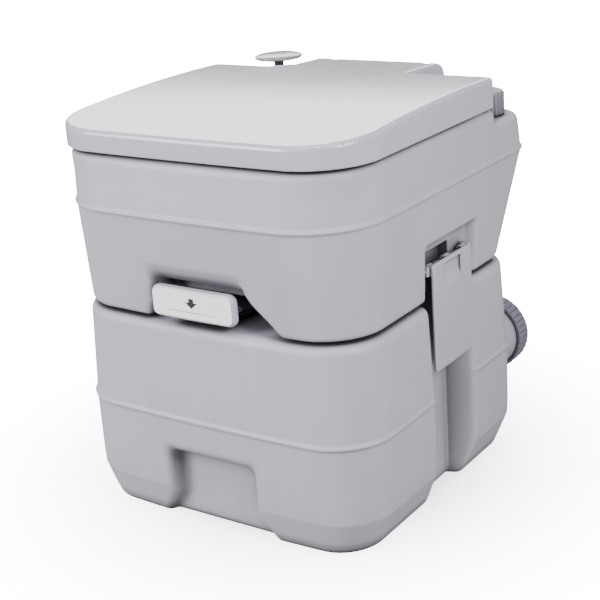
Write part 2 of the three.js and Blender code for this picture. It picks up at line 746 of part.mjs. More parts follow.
// ---- flush pump ---------------------------------------------------------------------------------
// A rod on the line from the pump towards the middle of the bowl, between two distances from the pump.
function flushLine(radius, from, to) {
  const start = new THREE.Vector3(PUMP.x, PUMP.y, FLUSH.z);
  const direction = new THREE.Vector3(-PUMP.x, BOWL_Y - PUMP.y, 0).normalize();
  const turn = new THREE.Quaternion().setFromUnitVectors(new THREE.Vector3(0, 1, 0), direction);
  const centre = start.clone().addScaledVector(direction, (from + to) / 2);
  return solid(
    new THREE.CylinderGeometry(radius, radius, to - from, SMALL_STEPS)
      .applyQuaternion(turn)
      .translate(centre.x, centre.y, centre.z),
  );
}

// A piece turned about the pump's axis.
const pumpTurned = (profile, segments = ROUND_STEPS) => turned(profile, PUMP.x, PUMP.y, segments);

const pumpCylinder = () =>
  pumpTurned([
    [PUMP.bore, PUMP.foot],
    [PUMP.tube, PUMP.foot],
    [PUMP.tube, DECK_Z + GAP],
    [PUMP.collar, DECK_Z + GAP],
    [PUMP.collar, DECK_Z + 2.5],
    [PUMP.bore, DECK_Z + 2.5],
  ]).subtract(flushLine(FLUSH.bore, 0, 60));

function pumpCollar() {
  const bottom = DECK_Z + 2.5 + GAP;
  const top = DECK_Z + 9;
  const bore = PUMP.rod + 0.4;
  return pumpTurned([
    [bore, bottom],
    [PUMP.collar, bottom],
    [PUMP.collar, top - 2],
    [PUMP.collar - 2, top],
    [bore, top],
  ]);
}

function footValveBody() {
  const { bore, foot } = PUMP;
  return pumpTurned([
    [4, foot - 8],
    [bore + 2, foot - 8],
    [bore + 2, foot - GAP],
    [bore - 3, foot - GAP],
    [bore - 3, foot - 4],
    [4, foot - 4],
  ]);
}

const footValveFlap = () => disc(PUMP.x, PUMP.y, 9, PUMP.foot - 3.7, PUMP.foot - 2.2, SMALL_STEPS);

// The piston's groove holds the cup seal.
const PISTON = {
  bottom: PUMP.foot + 8,
  grooveLow: PUMP.foot + 12,
  grooveHigh: PUMP.foot + 17,
  top: PUMP.foot + 22,
};

function pumpPiston() {
  const outer = PUMP.bore - 0.8;
  const groove = PUMP.bore - 4;
  return pumpTurned([
    [0, PISTON.bottom],
    [outer, PISTON.bottom],
    [outer, PISTON.grooveLow],
    [groove, PISTON.grooveLow],
    [groove, PISTON.grooveHigh],
    [outer, PISTON.grooveHigh],
    [outer, PISTON.top],
    [0, PISTON.top],
  ]);
}

const pumpCupSeal = () =>
  tubeZ(PUMP.x, PUMP.y, PUMP.bore - 3.7, PUMP.bore - 0.4, PISTON.grooveLow + GAP, PISTON.grooveHigh - GAP);

const pumpRod = () => disc(PUMP.x, PUMP.y, PUMP.rod, PISTON.top + GAP, PUMP.knobTop - 10, SMALL_STEPS);

function pumpKnob() {
  const { rod, knob, knobTop } = PUMP;
  return pumpTurned([
    [0, knobTop - 9.7],
    [rod + 3, knobTop - 9.7],
    [rod + 5, knobTop - 8],
    [knob - 4, knobTop - 6.5],
    [knob, knobTop - 4],
    [knob - 2, knobTop - 2],
    [knob - 12, knobTop - 0.5],
    [0, knobTop],
  ]);
}

const flushTube = () =>
  flushLine(FLUSH.tube, PUMP.tube + 0.6, FLUSH.tubeEnd).subtract(
    flushLine(FLUSH.bore, 0, FLUSH.tubeEnd + 5),
  );

// A hood on the end of the tube that turns the water down round the bowl.
function flushNozzle() {
  const start = FLUSH.tubeEnd + 0.4;
  const hood = flushLine(FLUSH.hood, start, FLUSH.hoodEnd);
  const hollow = flushLine(FLUSH.hollow, start - 1, FLUSH.hoodEnd - 3);
  const mouth = box(PUMP.x, 0, 0, PUMP.y, FLUSH.z - 12, FLUSH.z - 4);
  return without(hood, [hollow, mouth]);
}

// ---- fill cap -----------------------------------------------------------------------------------
function fillCap() {
  const { x, y, outer, neckTop, cap, capTop, flutes } = FILL;
  const start = FILL_DECK.z + 1.5;
  const cup = turned(capSection(outer, neckTop, cap, start, capTop), x, y);
  const cutters = flutePlaces(flutes, cap + 1.2).map(([dx, dy]) =>
    disc(x + dx, y + dy, 2.4, start - 1, capTop + 1, 6),
  );
  return without(cup, cutters);
}

function fillGasket() {
  const z0 = FILL.neckTop + GAP;
  return tubeZ(FILL.x, FILL.y, FILL.inner + 0.5, FILL.outer - 0.5, z0, z0 + GASKET);
}

// ---- latches ------------------------------------------------------------------------------------
function latch(side) {
  const { x, thick, half, bottom, top, pinX, pinZ, pin } = LATCH;
  const block = (x0, x1, [y0, y1], [z0, z1]) => box(side * x0, side * x1, y0, y1, z0, z1);
  const plate = block(x, x + thick, [-half, half], [bottom, top]);
  const window = block(x + LATCH_WINDOW.floor, x + thick + 1, LATCH_WINDOW.y, LATCH_WINDOW.z);
  const eyes = LATCH_EYE.spans.flatMap((span) => [
    rodY(side * pinX, ...span, pinZ, LATCH_EYE.radius, 16),
    block(pinX, x + 0.5, span, [pinZ - 5, pinZ + 5]),
  ]);
  const hook = block(x - LATCH_HOOK.reach, x + 0.5, [-LATCH_HOOK.half, LATCH_HOOK.half], LATCH_HOOK.z);
  const pinHole = rodY(side * pinX, -half - 1, half + 1, pinZ, pin + GAP);
  return without(joined([plate, hook, ...eyes]), [window, pinHole]);
}

const latchPin = (side) => rodY(side * LATCH.pinX, -LATCH.half - 6, LATCH.half + 6, LATCH.pinZ, LATCH.pin);

// A torsion spring wound round the pin.
function latchSpring(side) {
  const { turns, radius, wire, pitch, start } = LATCH_SPRING;
  class Coil extends THREE.Curve {
    getPoint(t) {
      const angle = t * turns * 2 * Math.PI;
      return new THREE.Vector3(
        side * LATCH.pinX + radius * Math.cos(angle),
        start + pitch * turns * t,
        LATCH.pinZ + radius * Math.sin(angle),
      );
    }
  }
  const section = new THREE.Shape().absarc(0, 0, wire, 0, 2 * Math.PI);
  return solid(
    new THREE.ExtrudeGeometry(section, {
      steps: turns * 8,
      curveSegments: 2,
      bevelEnabled: false,
      extrudePath: new Coil(),
    }),
  );
}

// ---- assembly -----------------------------------------------------------------------------------
addPiece("waste_tank", wasteTank(), tankGrey());
addPiece("valve_frame_lower", valveFrameLower(), darkPlastic());
addPiece("valve_frame_upper", valveFrameUpper(), darkPlastic());
addPiece("blade_seal_lower", lipSeal(VALVE.bladeZ - LIP.deep, VALVE.bladeZ - GAP), rubber());
addPiece("blade_seal_upper", lipSeal(BLADE_TOP + GAP, BLADE_TOP + LIP.deep), rubber());
addPiece("bowl_outlet_seal", bowlSeal(), rubber());
addPiece("valve_blade", valveBlade(), darkPlastic());
addPiece("pull_handle", pullHandle(), lidGrey());
addPiece("pull_label", pullLabel(), labelWhite());
screwPlaces().forEach(([x, y], i) =>
  addPiece(`frame_screw_${i + 1}`, screw(x, y, SEAM_Z + 1.5, VALVE.top), steel()),
);
SIDES.forEach((side, i) => {
  const handleScrew = screw(side * HANDLE.screwX, HANDLE.screwY, SHELF.z, SHELF.z + SHELF.thick);
  addPiece(`handle_screw_${i + 1}`, handleScrew, steel());
});

addPiece("spout_neck", spoutNeck(), tankGrey());
addPiece("spout_cap", spoutCap(), capGrey());
addPiece("spout_cap_gasket", spoutGasket(), rubber());

addPiece("fresh_tank", freshTank(), tankGrey());
addPiece("bowl", bowl(), paleBowl());
addPiece("seat", seat(), lidGrey());
addPiece("lid", lid(), lidGrey());
SEAT_BUMPERS.forEach((place, i) =>
  addPiece(`seat_bumper_${i + 1}`, bumper(place, DECK_Z + GAP, SEAT.bottom - GAP), rubber()),
);
LID_BUMPERS.forEach((place, i) =>
  addPiece(`lid_bumper_${i + 1}`, bumper(place, SEAT.top + GAP, LID.top - LID.wall - GAP), rubber()),
);

addPiece("pump_cylinder", pumpCylinder(), lidGrey());
addPiece("pump_collar", pumpCollar(), lidGrey());
addPiece("foot_valve_body", footValveBody(), darkPlastic());
addPiece("foot_valve_flap", footValveFlap(), rubber());
addPiece("pump_piston", pumpPiston(), darkPlastic());
addPiece("pump_cup_seal", pumpCupSeal(), rubber());
addPiece("pump_rod", pumpRod(), darkPlastic());
addPiece("pump_knob", pumpKnob(), labelWhite());
addPiece("flush_tube", flushTube(), darkPlastic());
addPiece("flush_nozzle", flushNozzle(), lidGrey());
addPiece("fill_cap", fillCap(), capGrey());
addPiece("fill_cap_gasket", fillGasket(), rubber());

SIDES.forEach((side) => {
  const suffix = side > 0 ? "right" : "left";
  addPiece(`hinge_pin_${suffix}`, hingePin(side), steel());
  addPiece(`latch_${suffix}`, latch(side), tankGrey());
  addPiece(`latch_pin_${suffix}`, latchPin(side), steel());
  addPiece(`latch_spring_${suffix}`, latchSpring(side), steel());
});

export default toilet;
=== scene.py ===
"""The looks of the portable camp toilet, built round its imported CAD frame.

The moulded shells are fields: functions of a place in millimetres that are negative inside the plastic.
shell() walks a grid over a field and lays a smooth mesh on its surface, so every edge and recess has a
real fillet. Turned pieces are lathed, and the small hinge and latch fittings are bevelled blocks.
"""

import json
import math

import bmesh
import bpy
import numpy as np
from mathutils import Matrix, Vector


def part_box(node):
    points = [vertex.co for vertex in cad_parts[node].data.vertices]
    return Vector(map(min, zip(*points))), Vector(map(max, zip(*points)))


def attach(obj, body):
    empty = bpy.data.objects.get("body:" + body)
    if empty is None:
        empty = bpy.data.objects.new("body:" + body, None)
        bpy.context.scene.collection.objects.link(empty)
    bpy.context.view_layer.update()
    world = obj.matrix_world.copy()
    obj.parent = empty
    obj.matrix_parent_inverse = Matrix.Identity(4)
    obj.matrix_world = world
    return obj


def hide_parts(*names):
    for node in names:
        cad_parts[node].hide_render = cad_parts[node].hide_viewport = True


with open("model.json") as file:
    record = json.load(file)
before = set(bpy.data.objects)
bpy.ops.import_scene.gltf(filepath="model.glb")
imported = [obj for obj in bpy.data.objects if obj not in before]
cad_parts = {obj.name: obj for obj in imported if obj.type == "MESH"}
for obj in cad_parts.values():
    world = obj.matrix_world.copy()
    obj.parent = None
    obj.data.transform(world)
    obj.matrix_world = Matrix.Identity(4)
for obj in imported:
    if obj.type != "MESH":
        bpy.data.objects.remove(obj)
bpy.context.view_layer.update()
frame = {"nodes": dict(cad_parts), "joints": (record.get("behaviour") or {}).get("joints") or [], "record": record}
MM = 0.001


# ---- sizes from the frame, in millimetres --------------------------------------------------------
def node_box(node):
    """Lowest and highest corners of a CAD node, in millimetres."""
    low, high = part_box(node)
    return np.array(low) / MM, np.array(high) / MM


def opening(name):
    """Lowest and highest corners of one of the record's openings, in millimetres."""
    found = next(o for o in frame["record"]["physics"]["openings"] if o["name"] == name)
    return np.array(found["box_m"]) / MM


def joint_place(name):
    """Where a joint's axis passes, in millimetres."""
    return np.array(next(j for j in frame["joints"] if j["name"] == name)["pos_m"]) / MM


WASTE_LOW, WASTE_HIGH = node_box("waste_tank")
SEAM_Z = WASTE_HIGH[2]
FRESH_LOW, FRESH_HIGH = node_box("fresh_tank")
LID_LOW, LID_HIGH = node_box("lid")
SEAT_LOW, SEAT_HIGH = node_box("seat")
BOWL_LOW, BOWL_HIGH = node_box("bowl")
DECK_Z = BOWL_HIGH[2] - 2.3
HINGE = joint_place("seat_hinge")
LUG_X = 60  # the middle of each hinge lug
PIN_X, _, PIN_Z = joint_place("latch_right_swing")
FILL = joint_place("fill_cap_turn")
SPOUT = joint_place("spout_cap_turn")
PUMP = sum(node_box("pump_rod")) / 2

# Outlines of the two tanks: height, half width, front, rear, front corner radius, rear corner radius.
WASTE_RINGS = [
    (0, 163, -180, 137, 42, 32),
    (14, 169, -184.5, 142, 47, 36),
    (38, 178, -190.5, 151, 54, 41),
    (52, 179, -191.2, 151.8, 56, 42),
    (117.2, 179.4, -192, 151.6, 58, 42),
    (118.5, 180.7, -193.3, 152.8, 58, 42),
    (121.2, 180.7, -193.3, 152.8, 58, 42),
    (122.5, 179, -191.4, 151, 58, 42),
    (210, 175.5, -188.5, 147, 58, 42),
    (SEAM_Z, 174.8, -187.8, 146.3, 57, 41),
]
FRESH_RINGS = [
    (FRESH_LOW[2], 172.6, -185.6, 137, 57, 38),
    (329.2, 177, -197.5, 191.8, 73, 36),
    (330.5, 178.4, -199.1, 193.4, 74, 36),
    (333.2, 178.4, -199.1, 193.4, 74, 36),
    (334.5, 176.8, -197.2, 192.3, 73, 36),
    (362, 176, -195, 188, 70, 36),
    (378, 175.5, -194, 178, 66, 34),
    (DECK_Z, 174.5, -193, 166, 62, 34),
]
FOOT_EDGE, SHOULDER_EDGE = 7, 10  # how softly the lower tank's bottom and top edges round over
ROLL_EDGE, DECK_EDGE = 6.5, 8  # the same for the upper tank
SEAM_OPEN = 1.1  # how far each tank's rolled edge stands back from the seam
FRONT_BOW = 6  # how far the middle of a tank's front stands before its corners

# The hand grip in the front of the lower tank, measured at the front face.
GRIP_DEPTH = 22
GRIP_HALF, GRIP_TOP = 56, 85
GRIP_FOOT = 34  # below this height the cheeks spread apart ...
GRIP_SPREAD = 16  # ... by this much at the floor

# The notch under each latch: its floor, and how far and over what length its rear side comes out again.
NOTCH_FRONT, NOTCH_REAR = -42, 29
NOTCH_FLOOR = 150
NOTCH_RISE, NOTCH_RUN = 38, 26
SPOUT_HOLE = 38.4
INLET_HOLE = 48

# The recess round the pull handle. Its right edge sweeps out and its left edge flares towards the seam.
RECESS_BACK, RECESS_ROOF = -150, 276
RECESS_RIGHT, RECESS_SWEEP = 57, 34
RECESS_LEFT, RECESS_FLARE = -52, 6

# The lower deck round the fill neck, under its cap.
FILL_DECK_LEFT, FILL_DECK_FRONT = 82, 109
FILL_DECK_Z = node_box("fill_cap")[0][2] - 1.5
FILL_BORE, FILL_NECK = 16.5, 21

# The latch recess: its floor, its front wall, and the foot of its slanting rear wall.
LATCH_FLOOR, LATCH_FRONT, LATCH_REAR = 163.2, -44, 54
LATCH_ROOF = 281


# ---- fields --------------------------------------------------------------------------------------
def smooth_max(a, b, soft):
    """The greater of two fields, with the edge where they cross rounded over the soft distance."""
    h = np.clip(0.5 + 0.5 * (a - b) / soft, 0, 1)
    return b + (a - b) * h + soft * h * (1 - h)


def smooth_min(a, b, soft):
    """The lesser of two fields, rounded over in the same way."""
    return -smooth_max(-a, -b, soft)


def carve(body, cutter, soft):
    """The body with the cutter taken out of it, the edge between them rounded."""
    return smooth_max(body, -cutter, soft)


def smoothstep(t):
    """From 0 to 1 as t goes from 0 to 1, starting and ending gently."""
    t = np.clip(t, 0, 1)
    return t * t * (3 - 2 * t)


def block(x, y, z, low, high, radius=0.0):
    """A box with rounded edges. Use None for a side that runs on for ever."""
    distances = []
    for p, a, b in zip((x, y, z), low, high):
        a = -1e4 if a is None else a
        b = 1e4 if b is None else b
        distances.append(np.abs(p - (a + b) / 2) - (b - a) / 2 + radius)
    qx, qy, qz = distances
    outside = np.sqrt(np.maximum(qx, 0) ** 2 + np.maximum(qy, 0) ** 2 + np.maximum(qz, 0) ** 2)
    return outside + np.minimum(np.maximum(qx, np.maximum(qy, qz)), 0) - radius


def rounded_rect(x, y, half, front, rear, radius, rear_radius):
    """A rectangle with one corner radius at its front and another at its rear."""
    middle = (front + rear) / 2
    r = np.where(y < middle, radius, rear_radius)
    qx = np.abs(x) - half + r
    qy = np.abs(y - middle) - (rear - front) / 2 + r
    return np.hypot(np.maximum(qx, 0), np.maximum(qy, 0)) + np.minimum(np.maximum(qx, qy), 0) - r


def softened(rings, sigma=0.7):
    """The rings as smooth functions of height: the creases between them get a small radius."""
    table = np.array(rings, float)
    step = 0.25
    heights = np.arange(table[0, 0] - 20, table[-1, 0] + 20, step)
    reach = np.arange(-4 * sigma, 4 * sigma + step, step)
    kernel = np.exp(-0.5 * (reach / sigma) ** 2)
    kernel /= kernel.sum()
    columns = []
    for column in table[:, 1:].T:
        values = np.interp(heights, table[:, 0], column)
        padded = np.pad(values, len(reach) // 2, mode="edge")
        columns.append(np.convolve(padded, kernel, mode="valid")[: len(heights)])
    return lambda z: [np.interp(z, heights, column) for column in columns]


def tank_body(x, y, z, profile, bottom, top, bottom_soft, top_soft):
    """A tank with a bowed front, its outline changing with height as the profile says."""
    half, front, rear, radius, rear_radius = profile(z)
    bowed = np.where(y < 0, y - FRONT_BOW * np.minimum(np.abs(x) / half, 1) ** 2, y)
    body = rounded_rect(x, bowed, half, front, rear, radius, rear_radius)
    body = smooth_max(body, bottom - z, bottom_soft)
    return smooth_max(body, z - top, top_soft)


waste_profile = softened(WASTE_RINGS)
fresh_profile = softened(FRESH_RINGS)


def waste_field(x, y, z):
    """The lower tank, less the hand grip, the side notches, the waste chamber and the spout's hole."""
    body = tank_body(x, y, z, waste_profile, 0, SEAM_Z - SEAM_OPEN, FOOT_EDGE, SHOULDER_EDGE)
    # The hand grip: slanted cheeks, a rounded roof, and feet that taper away from it.
    depth = y - WASTE_LOW[1]
    taper = GRIP_SPREAD * smoothstep((GRIP_FOOT - z) / GRIP_FOOT)
    cheeks = np.abs(x) - (GRIP_HALF - 0.35 * depth) - taper
    roof = z - (GRIP_TOP - 0.5 * depth)
    grip = smooth_max(smooth_max(cheeks, roof, 9), depth - GRIP_DEPTH, 5)
    body = carve(body, grip, 8)
    # The notches: a square front wall, and a rear side that rounds out to the tank's wall.
    left_to_run = np.clip((NOTCH_REAR + NOTCH_RUN - y) / NOTCH_RUN, 0, 1)
    notch_floor = NOTCH_FLOOR + NOTCH_RISE * (1 - left_to_run**2)
    notch = smooth_max(notch_floor - np.abs(x), NOTCH_FRONT - y, 6)
    body = carve(body, notch, 6)
    chamber_low, chamber_high = opening("waste_chamber")
    inlet = np.maximum(np.hypot(x, y) - INLET_HOLE, chamber_high[2] - 4 - z)
    body = carve(body, inlet, 1.5)
    body = carve(body, block(x, y, z, chamber_low, chamber_high, 25), 1.5)
    spout = np.hypot(x - SPOUT[0], z - SPOUT[2]) - SPOUT_HOLE
    return carve(body, np.maximum(spout, 100 - y), 2)


# The bowl's outside: height, half width and half length.
BOWL_RINGS = [(BOWL_LOW[2], 51, 51), (262, 58, 60), (305, 84, 96), (350, 101, 121), (DECK_Z, 106, 128)]
BOWL_SHIFT = -8  # the rim stands this far towards the front, over an outlet in the middle


def bowl_oval(z):
    """Half width, half length and middle of the bowl's outside at a height."""
    heights, half_widths, half_lengths = zip(*BOWL_RINGS)
    rx = np.interp(z, heights, half_widths)
    ry = np.interp(z, heights, half_lengths)
    middle = np.interp(z, [heights[0], heights[-1]], [0, BOWL_SHIFT])
    return rx, ry, middle


def oval(x, y, rx, ry, middle):
    """About the distance from an ellipse that is centred on X and at the given middle along Y."""
    return (np.sqrt((x / rx) ** 2 + ((y - middle) / ry) ** 2) - 1) * np.minimum(rx, ry)


def handle_recess(x, y, z):
    """The arched space round the pull handle, its roof slanting down behind the front face."""
    sweep = RECESS_RIGHT + RECESS_SWEEP * smoothstep((272 - z) / 50) ** 1.2
    left_edge = RECESS_LEFT - RECESS_FLARE * smoothstep((244 - z) / 14)
    roof = z - RECESS_ROOF + 0.8 * np.clip(y + 190, 0, 16)
    arch = smooth_max(smooth_max(x - sweep, roof, 10), left_edge - x, 9)
    return smooth_max(arch, y - RECESS_BACK, 4)


def latch_recess(side, y, z):
    """The space a latch lies in, for a distance out to either side."""
    rear_wall = y - (LATCH_REAR + 0.85 * (side - 163))
    walls = smooth_max(smooth_max(LATCH_FRONT - y, rear_wall, 4), z - LATCH_ROOF, 6)
    return smooth_max(walls, LATCH_FLOOR - side, 3)


def fresh_field(x, y, z):
    """The upper tank, less the recesses of its handle and latches and the wells under the lid."""
    bottom = FRESH_LOW[2] + SEAM_OPEN
    body = tank_body(x, y, z, fresh_profile, bottom, DECK_Z, ROLL_EDGE, DECK_EDGE)
    corner = smooth_max(FILL_DECK_LEFT - x, FILL_DECK_FRONT - y, 6)
    body = carve(body, smooth_max(corner, FILL_DECK_Z - z, 4), 7)
    body = carve(body, handle_recess(x, y, z), 10)
    side = np.abs(x)
    body = carve(body, latch_recess(side, y, z), 4)
    # The slot that the latch's hinge reaches back into.
    slot = block(side, y, z, (150, -42, 249), (None, 20, 269), 1.5)
    body = carve(body, slot, 1)
    # Under the lid: the bowl's well, the valve's well and the trough of the hinge.
    rx, ry, middle = bowl_oval(z)
    body = carve(body, oval(x, y, rx + 1, ry + 1, middle), 2)
    body = carve(body, block(x, y, z, (-74, -155, None), (74, 74, 246), 5), 2)
    body = carve(body, block(x, y, z, (-90, 146, 378), (82, None, None), 4), 4)
    pump_hole = np.hypot(x - PUMP[0], y - PUMP[1]) - 17.3
    body = carve(body, np.maximum(pump_hole, 310 - z), 1)
    # The fill neck stands on the lower deck.
    from_axis = np.hypot(x - FILL[0], y - FILL[1])
    neck_height = np.maximum(z - FILL[2], FILL_DECK_Z - 10 - z)
    body = smooth_min(body, np.maximum(from_axis - FILL_NECK, neck_height), 2)
    return carve(body, np.maximum(from_axis - FILL_BORE, 340 - z), 1)


# The lid: a tongue reaches back to the hinge behind its shoulders, hollowed round the pump.
TONGUE_LEFT, TONGUE_RIGHT = -84, 76
SHOULDER_Y = 105
CUT_RADIUS = 36
WRAP_RADIUS = 17
LID_WALL = 3
LID_FRONT_TOP, LID_REAR_TOP = 410, 417
LID_DOME = 7  # how far the middle of the lid rises over the slope from front to rear
LID_EDGE = 5


def lid_outline(x, y):
    """The lid from above: rounded front, square shoulders, a hinge tongue, a hollow round the pump."""
    bowed = np.where(y < 0, y - 3.5 * (x / LID_HIGH[0]) ** 2, y)
    plate = rounded_rect(x, bowed, LID_HIGH[0], LID_LOW[1], SHOULDER_Y, 66, 9)
    middle, half = (TONGUE_LEFT + TONGUE_RIGHT) / 2, (TONGUE_RIGHT - TONGUE_LEFT) / 2
    tongue = np.maximum(np.abs(x - middle) - half, -y)
    # The hollow round the pump is a quarter circle between the left shoulder and the tongue.
    cut_x, cut_y = TONGUE_LEFT - CUT_RADIUS, SHOULDER_Y + CUT_RADIUS
    across = np.maximum(cut_x - x, x - TONGUE_LEFT - 1)
    along = np.maximum(SHOULDER_Y - 1 - y, y - cut_y)
    fillet = np.maximum(np.maximum(across, along), CUT_RADIUS - np.hypot(x - cut_x, y - cut_y))
    return np.minimum(smooth_min(plate, tongue, 5), fillet)


def lid_field(x, y, z):
    """The lid: an open-bottomed shell that wraps down round the hinge, with slots for the hinge lugs."""
    outline = lid_outline(x, y)
    rise = (y - LID_LOW[1]) / (HINGE[1] - LID_LOW[1])
    slope = LID_FRONT_TOP + (LID_REAR_TOP - LID_FRONT_TOP) * rise
    crown = slope + LID_DOME * np.sin(np.pi * np.clip(rise, 0, 1))
    wrap = np.hypot(y - HINGE[1], z - HINGE[2]) - WRAP_RADIUS
    top = np.where(y > HINGE[1], wrap, z - crown)
    bottom = np.where(y > HINGE[1], HINGE[2] - z, LID_LOW[2] - z)
    body = smooth_max(smooth_max(outline, top, LID_EDGE), bottom, 1.6)
    body = carve(body, np.maximum(outline + LID_WALL, top + LID_WALL), 2.2)
    for middle in (LUG_X, -LUG_X):
        slot = block(x, y, z, (middle - 5, HINGE[1] - 3, None), (middle + 5, None, None), 1)
        body = carve(body, slot, 1)
    return body


SEAT_TOP = 403
SEAT_ARM_IN, SEAT_ARM_OUT = 34, 44
PIN_BORE = 3.3
EYE_RADIUS = 8.5


def seat_field(x, y, z):
    """The seat ring, dished towards its hole, with a bridge and two hinge arms behind."""
    outline = rounded_rect(x, y, SEAT_HIGH[0], SEAT_LOW[1], 98, 58, 58)
    hole = oval(x, y, 99, 120, -16)
    dish = 2.6 * (1 - smoothstep(hole / 34))
    top = SEAT_TOP - dish
    plate = smooth_max(smooth_max(outline, z - top, 8), SEAT_LOW[2] - z, 5)
    plate = carve(plate, hole, 7)
    arm_low, arm_top = SEAT_LOW[2] + 1.5, SEAT_TOP - 1
    bridge = block(x, y, z, (-SEAT_ARM_OUT, 88, arm_low), (SEAT_ARM_OUT, 146, arm_top), 2.5)
    plate = smooth_min(plate, bridge, 4)
    side = np.abs(x)
    arm = block(side, y, z, (SEAT_ARM_IN, 140, arm_low), (SEAT_ARM_OUT, HINGE[1], arm_top), 1.5)
    from_pin = np.hypot(y - HINGE[1], z - HINGE[2])
    arm_middle, arm_half = (SEAT_ARM_IN + SEAT_ARM_OUT) / 2, (SEAT_ARM_OUT - SEAT_ARM_IN) / 2
    eye = np.maximum(from_pin - EYE_RADIUS, np.abs(side - arm_middle) - arm_half)
    plate = smooth_min(plate, smooth_min(arm, eye, 2), 3)
    return carve(plate, np.maximum(from_pin - PIN_BORE, 160 - y), 0.5)


HANDLE_LOW, HANDLE_HIGH = node_box("pull_handle")
BAR_THICK = 9
SHELF_HALF, SHELF_THICK = 28, 4
LABEL_HALF, LABEL_BORDER = 45, 5


def handle_field(x, y, z):
    """The pull handle: a finger bar with the label's tray, on a shelf that reaches back to the blade."""
    low, high = HANDLE_LOW, HANDLE_HIGH
    front, shelf_z = low[1], low[2]
    plate = rounded_rect(x, z, high[0], low[2], high[2], 8, 8)
    bulge = 1.2 * (x / high[0]) ** 2
    bar = smooth_max(plate, front + bulge - y, 3)
    bar = smooth_max(bar, y - (front + BAR_THICK), 2)
    shelf_end = (SHELF_HALF, high[1], shelf_z + SHELF_THICK)
    bar = smooth_min(bar, block(x, y, z, (-SHELF_HALF, front + 6, shelf_z), shelf_end, 1), 2)
    tray = rounded_rect(x, z, LABEL_HALF, low[2] + LABEL_BORDER, high[2] - LABEL_BORDER, 4, 4)
    return carve(bar, smooth_max(tray, y - (front + 1.6), 0.6), 1)


LATCH_LOW, LATCH_HIGH = node_box("latch_right")
LATCH_HALF, LATCH_THICK = 40, 4
KNUCKLE_RADIUS, KNUCKLE_HALF = 5.5, 5
HOOK_LOW, HOOK_HIGH, HOOK_HALF = 164, 170, 18
WINDOW_LOW, WINDOW_HIGH, WINDOW_HALF, WINDOW_DEPTH = 235, 258, 17, 2.7


def latch_field(side):
    """The latch plate of one side: knuckles on the pin, a hook behind and a finger window in its face."""

    def field(x, y, z):
        out = side * x
        low, high = LATCH_LOW, LATCH_HIGH
        face = high[0]
        crown = 0.6 * (y / LATCH_HALF) ** 2
        outline = rounded_rect(y, z, LATCH_HALF, low[2], high[2], 3, 3)
        plate = smooth_max(outline, out - (face - crown), 2.2)
        plate = smooth_max(plate, face - LATCH_THICK - out, 0.8)
        from_pin = np.hypot(out - PIN_X, z - PIN_Z)
        web = block(out, y, z, (PIN_X, None, PIN_Z - 5), (face - 2, None, PIN_Z + 5), 1)
        at_ends = np.abs(np.abs(y) - (LATCH_HALF - KNUCKLE_HALF)) - KNUCKLE_HALF
        knuckles = np.minimum(at_ends, np.abs(y) - KNUCKLE_HALF)
        eyes = smooth_max(np.minimum(from_pin - KNUCKLE_RADIUS, web), knuckles, 1)
        plate = smooth_min(plate, eyes, 1)
        hook_end = (face - 2, HOOK_HALF, HOOK_HIGH)
        hook = block(out, y, z, (face - 11.5, -HOOK_HALF, HOOK_LOW), hook_end, 1.5)
        plate = smooth_min(plate, hook, 1.5)
        # The window is a pocket whose floor ramps out to the face at its lower end.
        floor = face - WINDOW_DEPTH + WINDOW_DEPTH * smoothstep((WINDOW_LOW + 11 - z) / 12)
        window = rounded_rect(y + 2, z, WINDOW_HALF, WINDOW_LOW, WINDOW_HIGH, 1.5, 1.5)
        plate = carve(plate, smooth_max(window, floor - out, 0.6), 0.8)
        return carve(plate, from_pin - 2.8, 0.4)

    return field


# ---- meshes --------------------------------------------------------------------------------------
def net(field, low, high, cell):
    """Vertices and quads on the zero surface of a field, one vertex for each grid cell it crosses."""
    low, high, cell = (np.array(v, float) for v in (low, high, cell))
    start = low - 2.37 * cell
    counts = np.ceil((high - low) / cell).astype(int) + 6
    axes = [start[i] + cell[i] * np.arange(counts[i]) for i in range(3)]
    x, y, z = np.meshgrid(*axes, indexing="ij", sparse=True)
    values = np.broadcast_to(field(x, y, z), counts).astype(np.float32)
    inside = values < 0
    corners = [(i, j, k) for i in (0, 1) for j in (0, 1) for k in (0, 1)]
    cut = tuple(counts - 1)
    filled = np.zeros(cut, np.int8)
    for i, j, k in corners:
        filled += inside[i : i + cut[0], j : j + cut[1], k : k + cut[2]]
    active = (filled > 0) & (filled < 8)
    cells = np.argwhere(active)
    index = np.full(cut, -1, np.int64)
    index[active] = np.arange(len(cells))
    total = np.zeros((len(cells), 3))
    hits = np.zeros(len(cells))
    for axis in range(3):
        unit = np.eye(3, dtype=int)[axis]
        for corner in corners:
            if corner[axis]:
                continue
            a = cells + corner
            b = a + unit
            va = values[tuple(a.T)]
            vb = values[tuple(b.T)]
            crossed = (va < 0) != (vb < 0)
            t = np.where(crossed, va / np.where(va == vb, 1, va - vb), 0)
            total += np.where(crossed[:, None], a + t[:, None] * unit, 0)
            hits += crossed
    points = start + cell * total / hits[:, None]
    return settled(points, field, cell), quads_of(inside, index)


def slope_of(points, field, reach):
    """How fast the field rises along X, Y and Z at each point."""
    rises = []
    for axis in np.eye(3):
        rises.append(field(*(points + reach * axis).T) - field(*(points - reach * axis).T))
    return np.stack(rises, axis=1) / (2 * reach)


def settled(points, field, cell):
    """The points moved along the field's slope until they lie on its surface."""
    for _ in range(3):
        value = field(*points.T)
        slope = slope_of(points, field, 0.2)
        size = np.maximum((slope**2).sum(1), 0.2)
        points = points - np.clip(value / size, -cell.min(), cell.min())[:, None] * slope
    return points


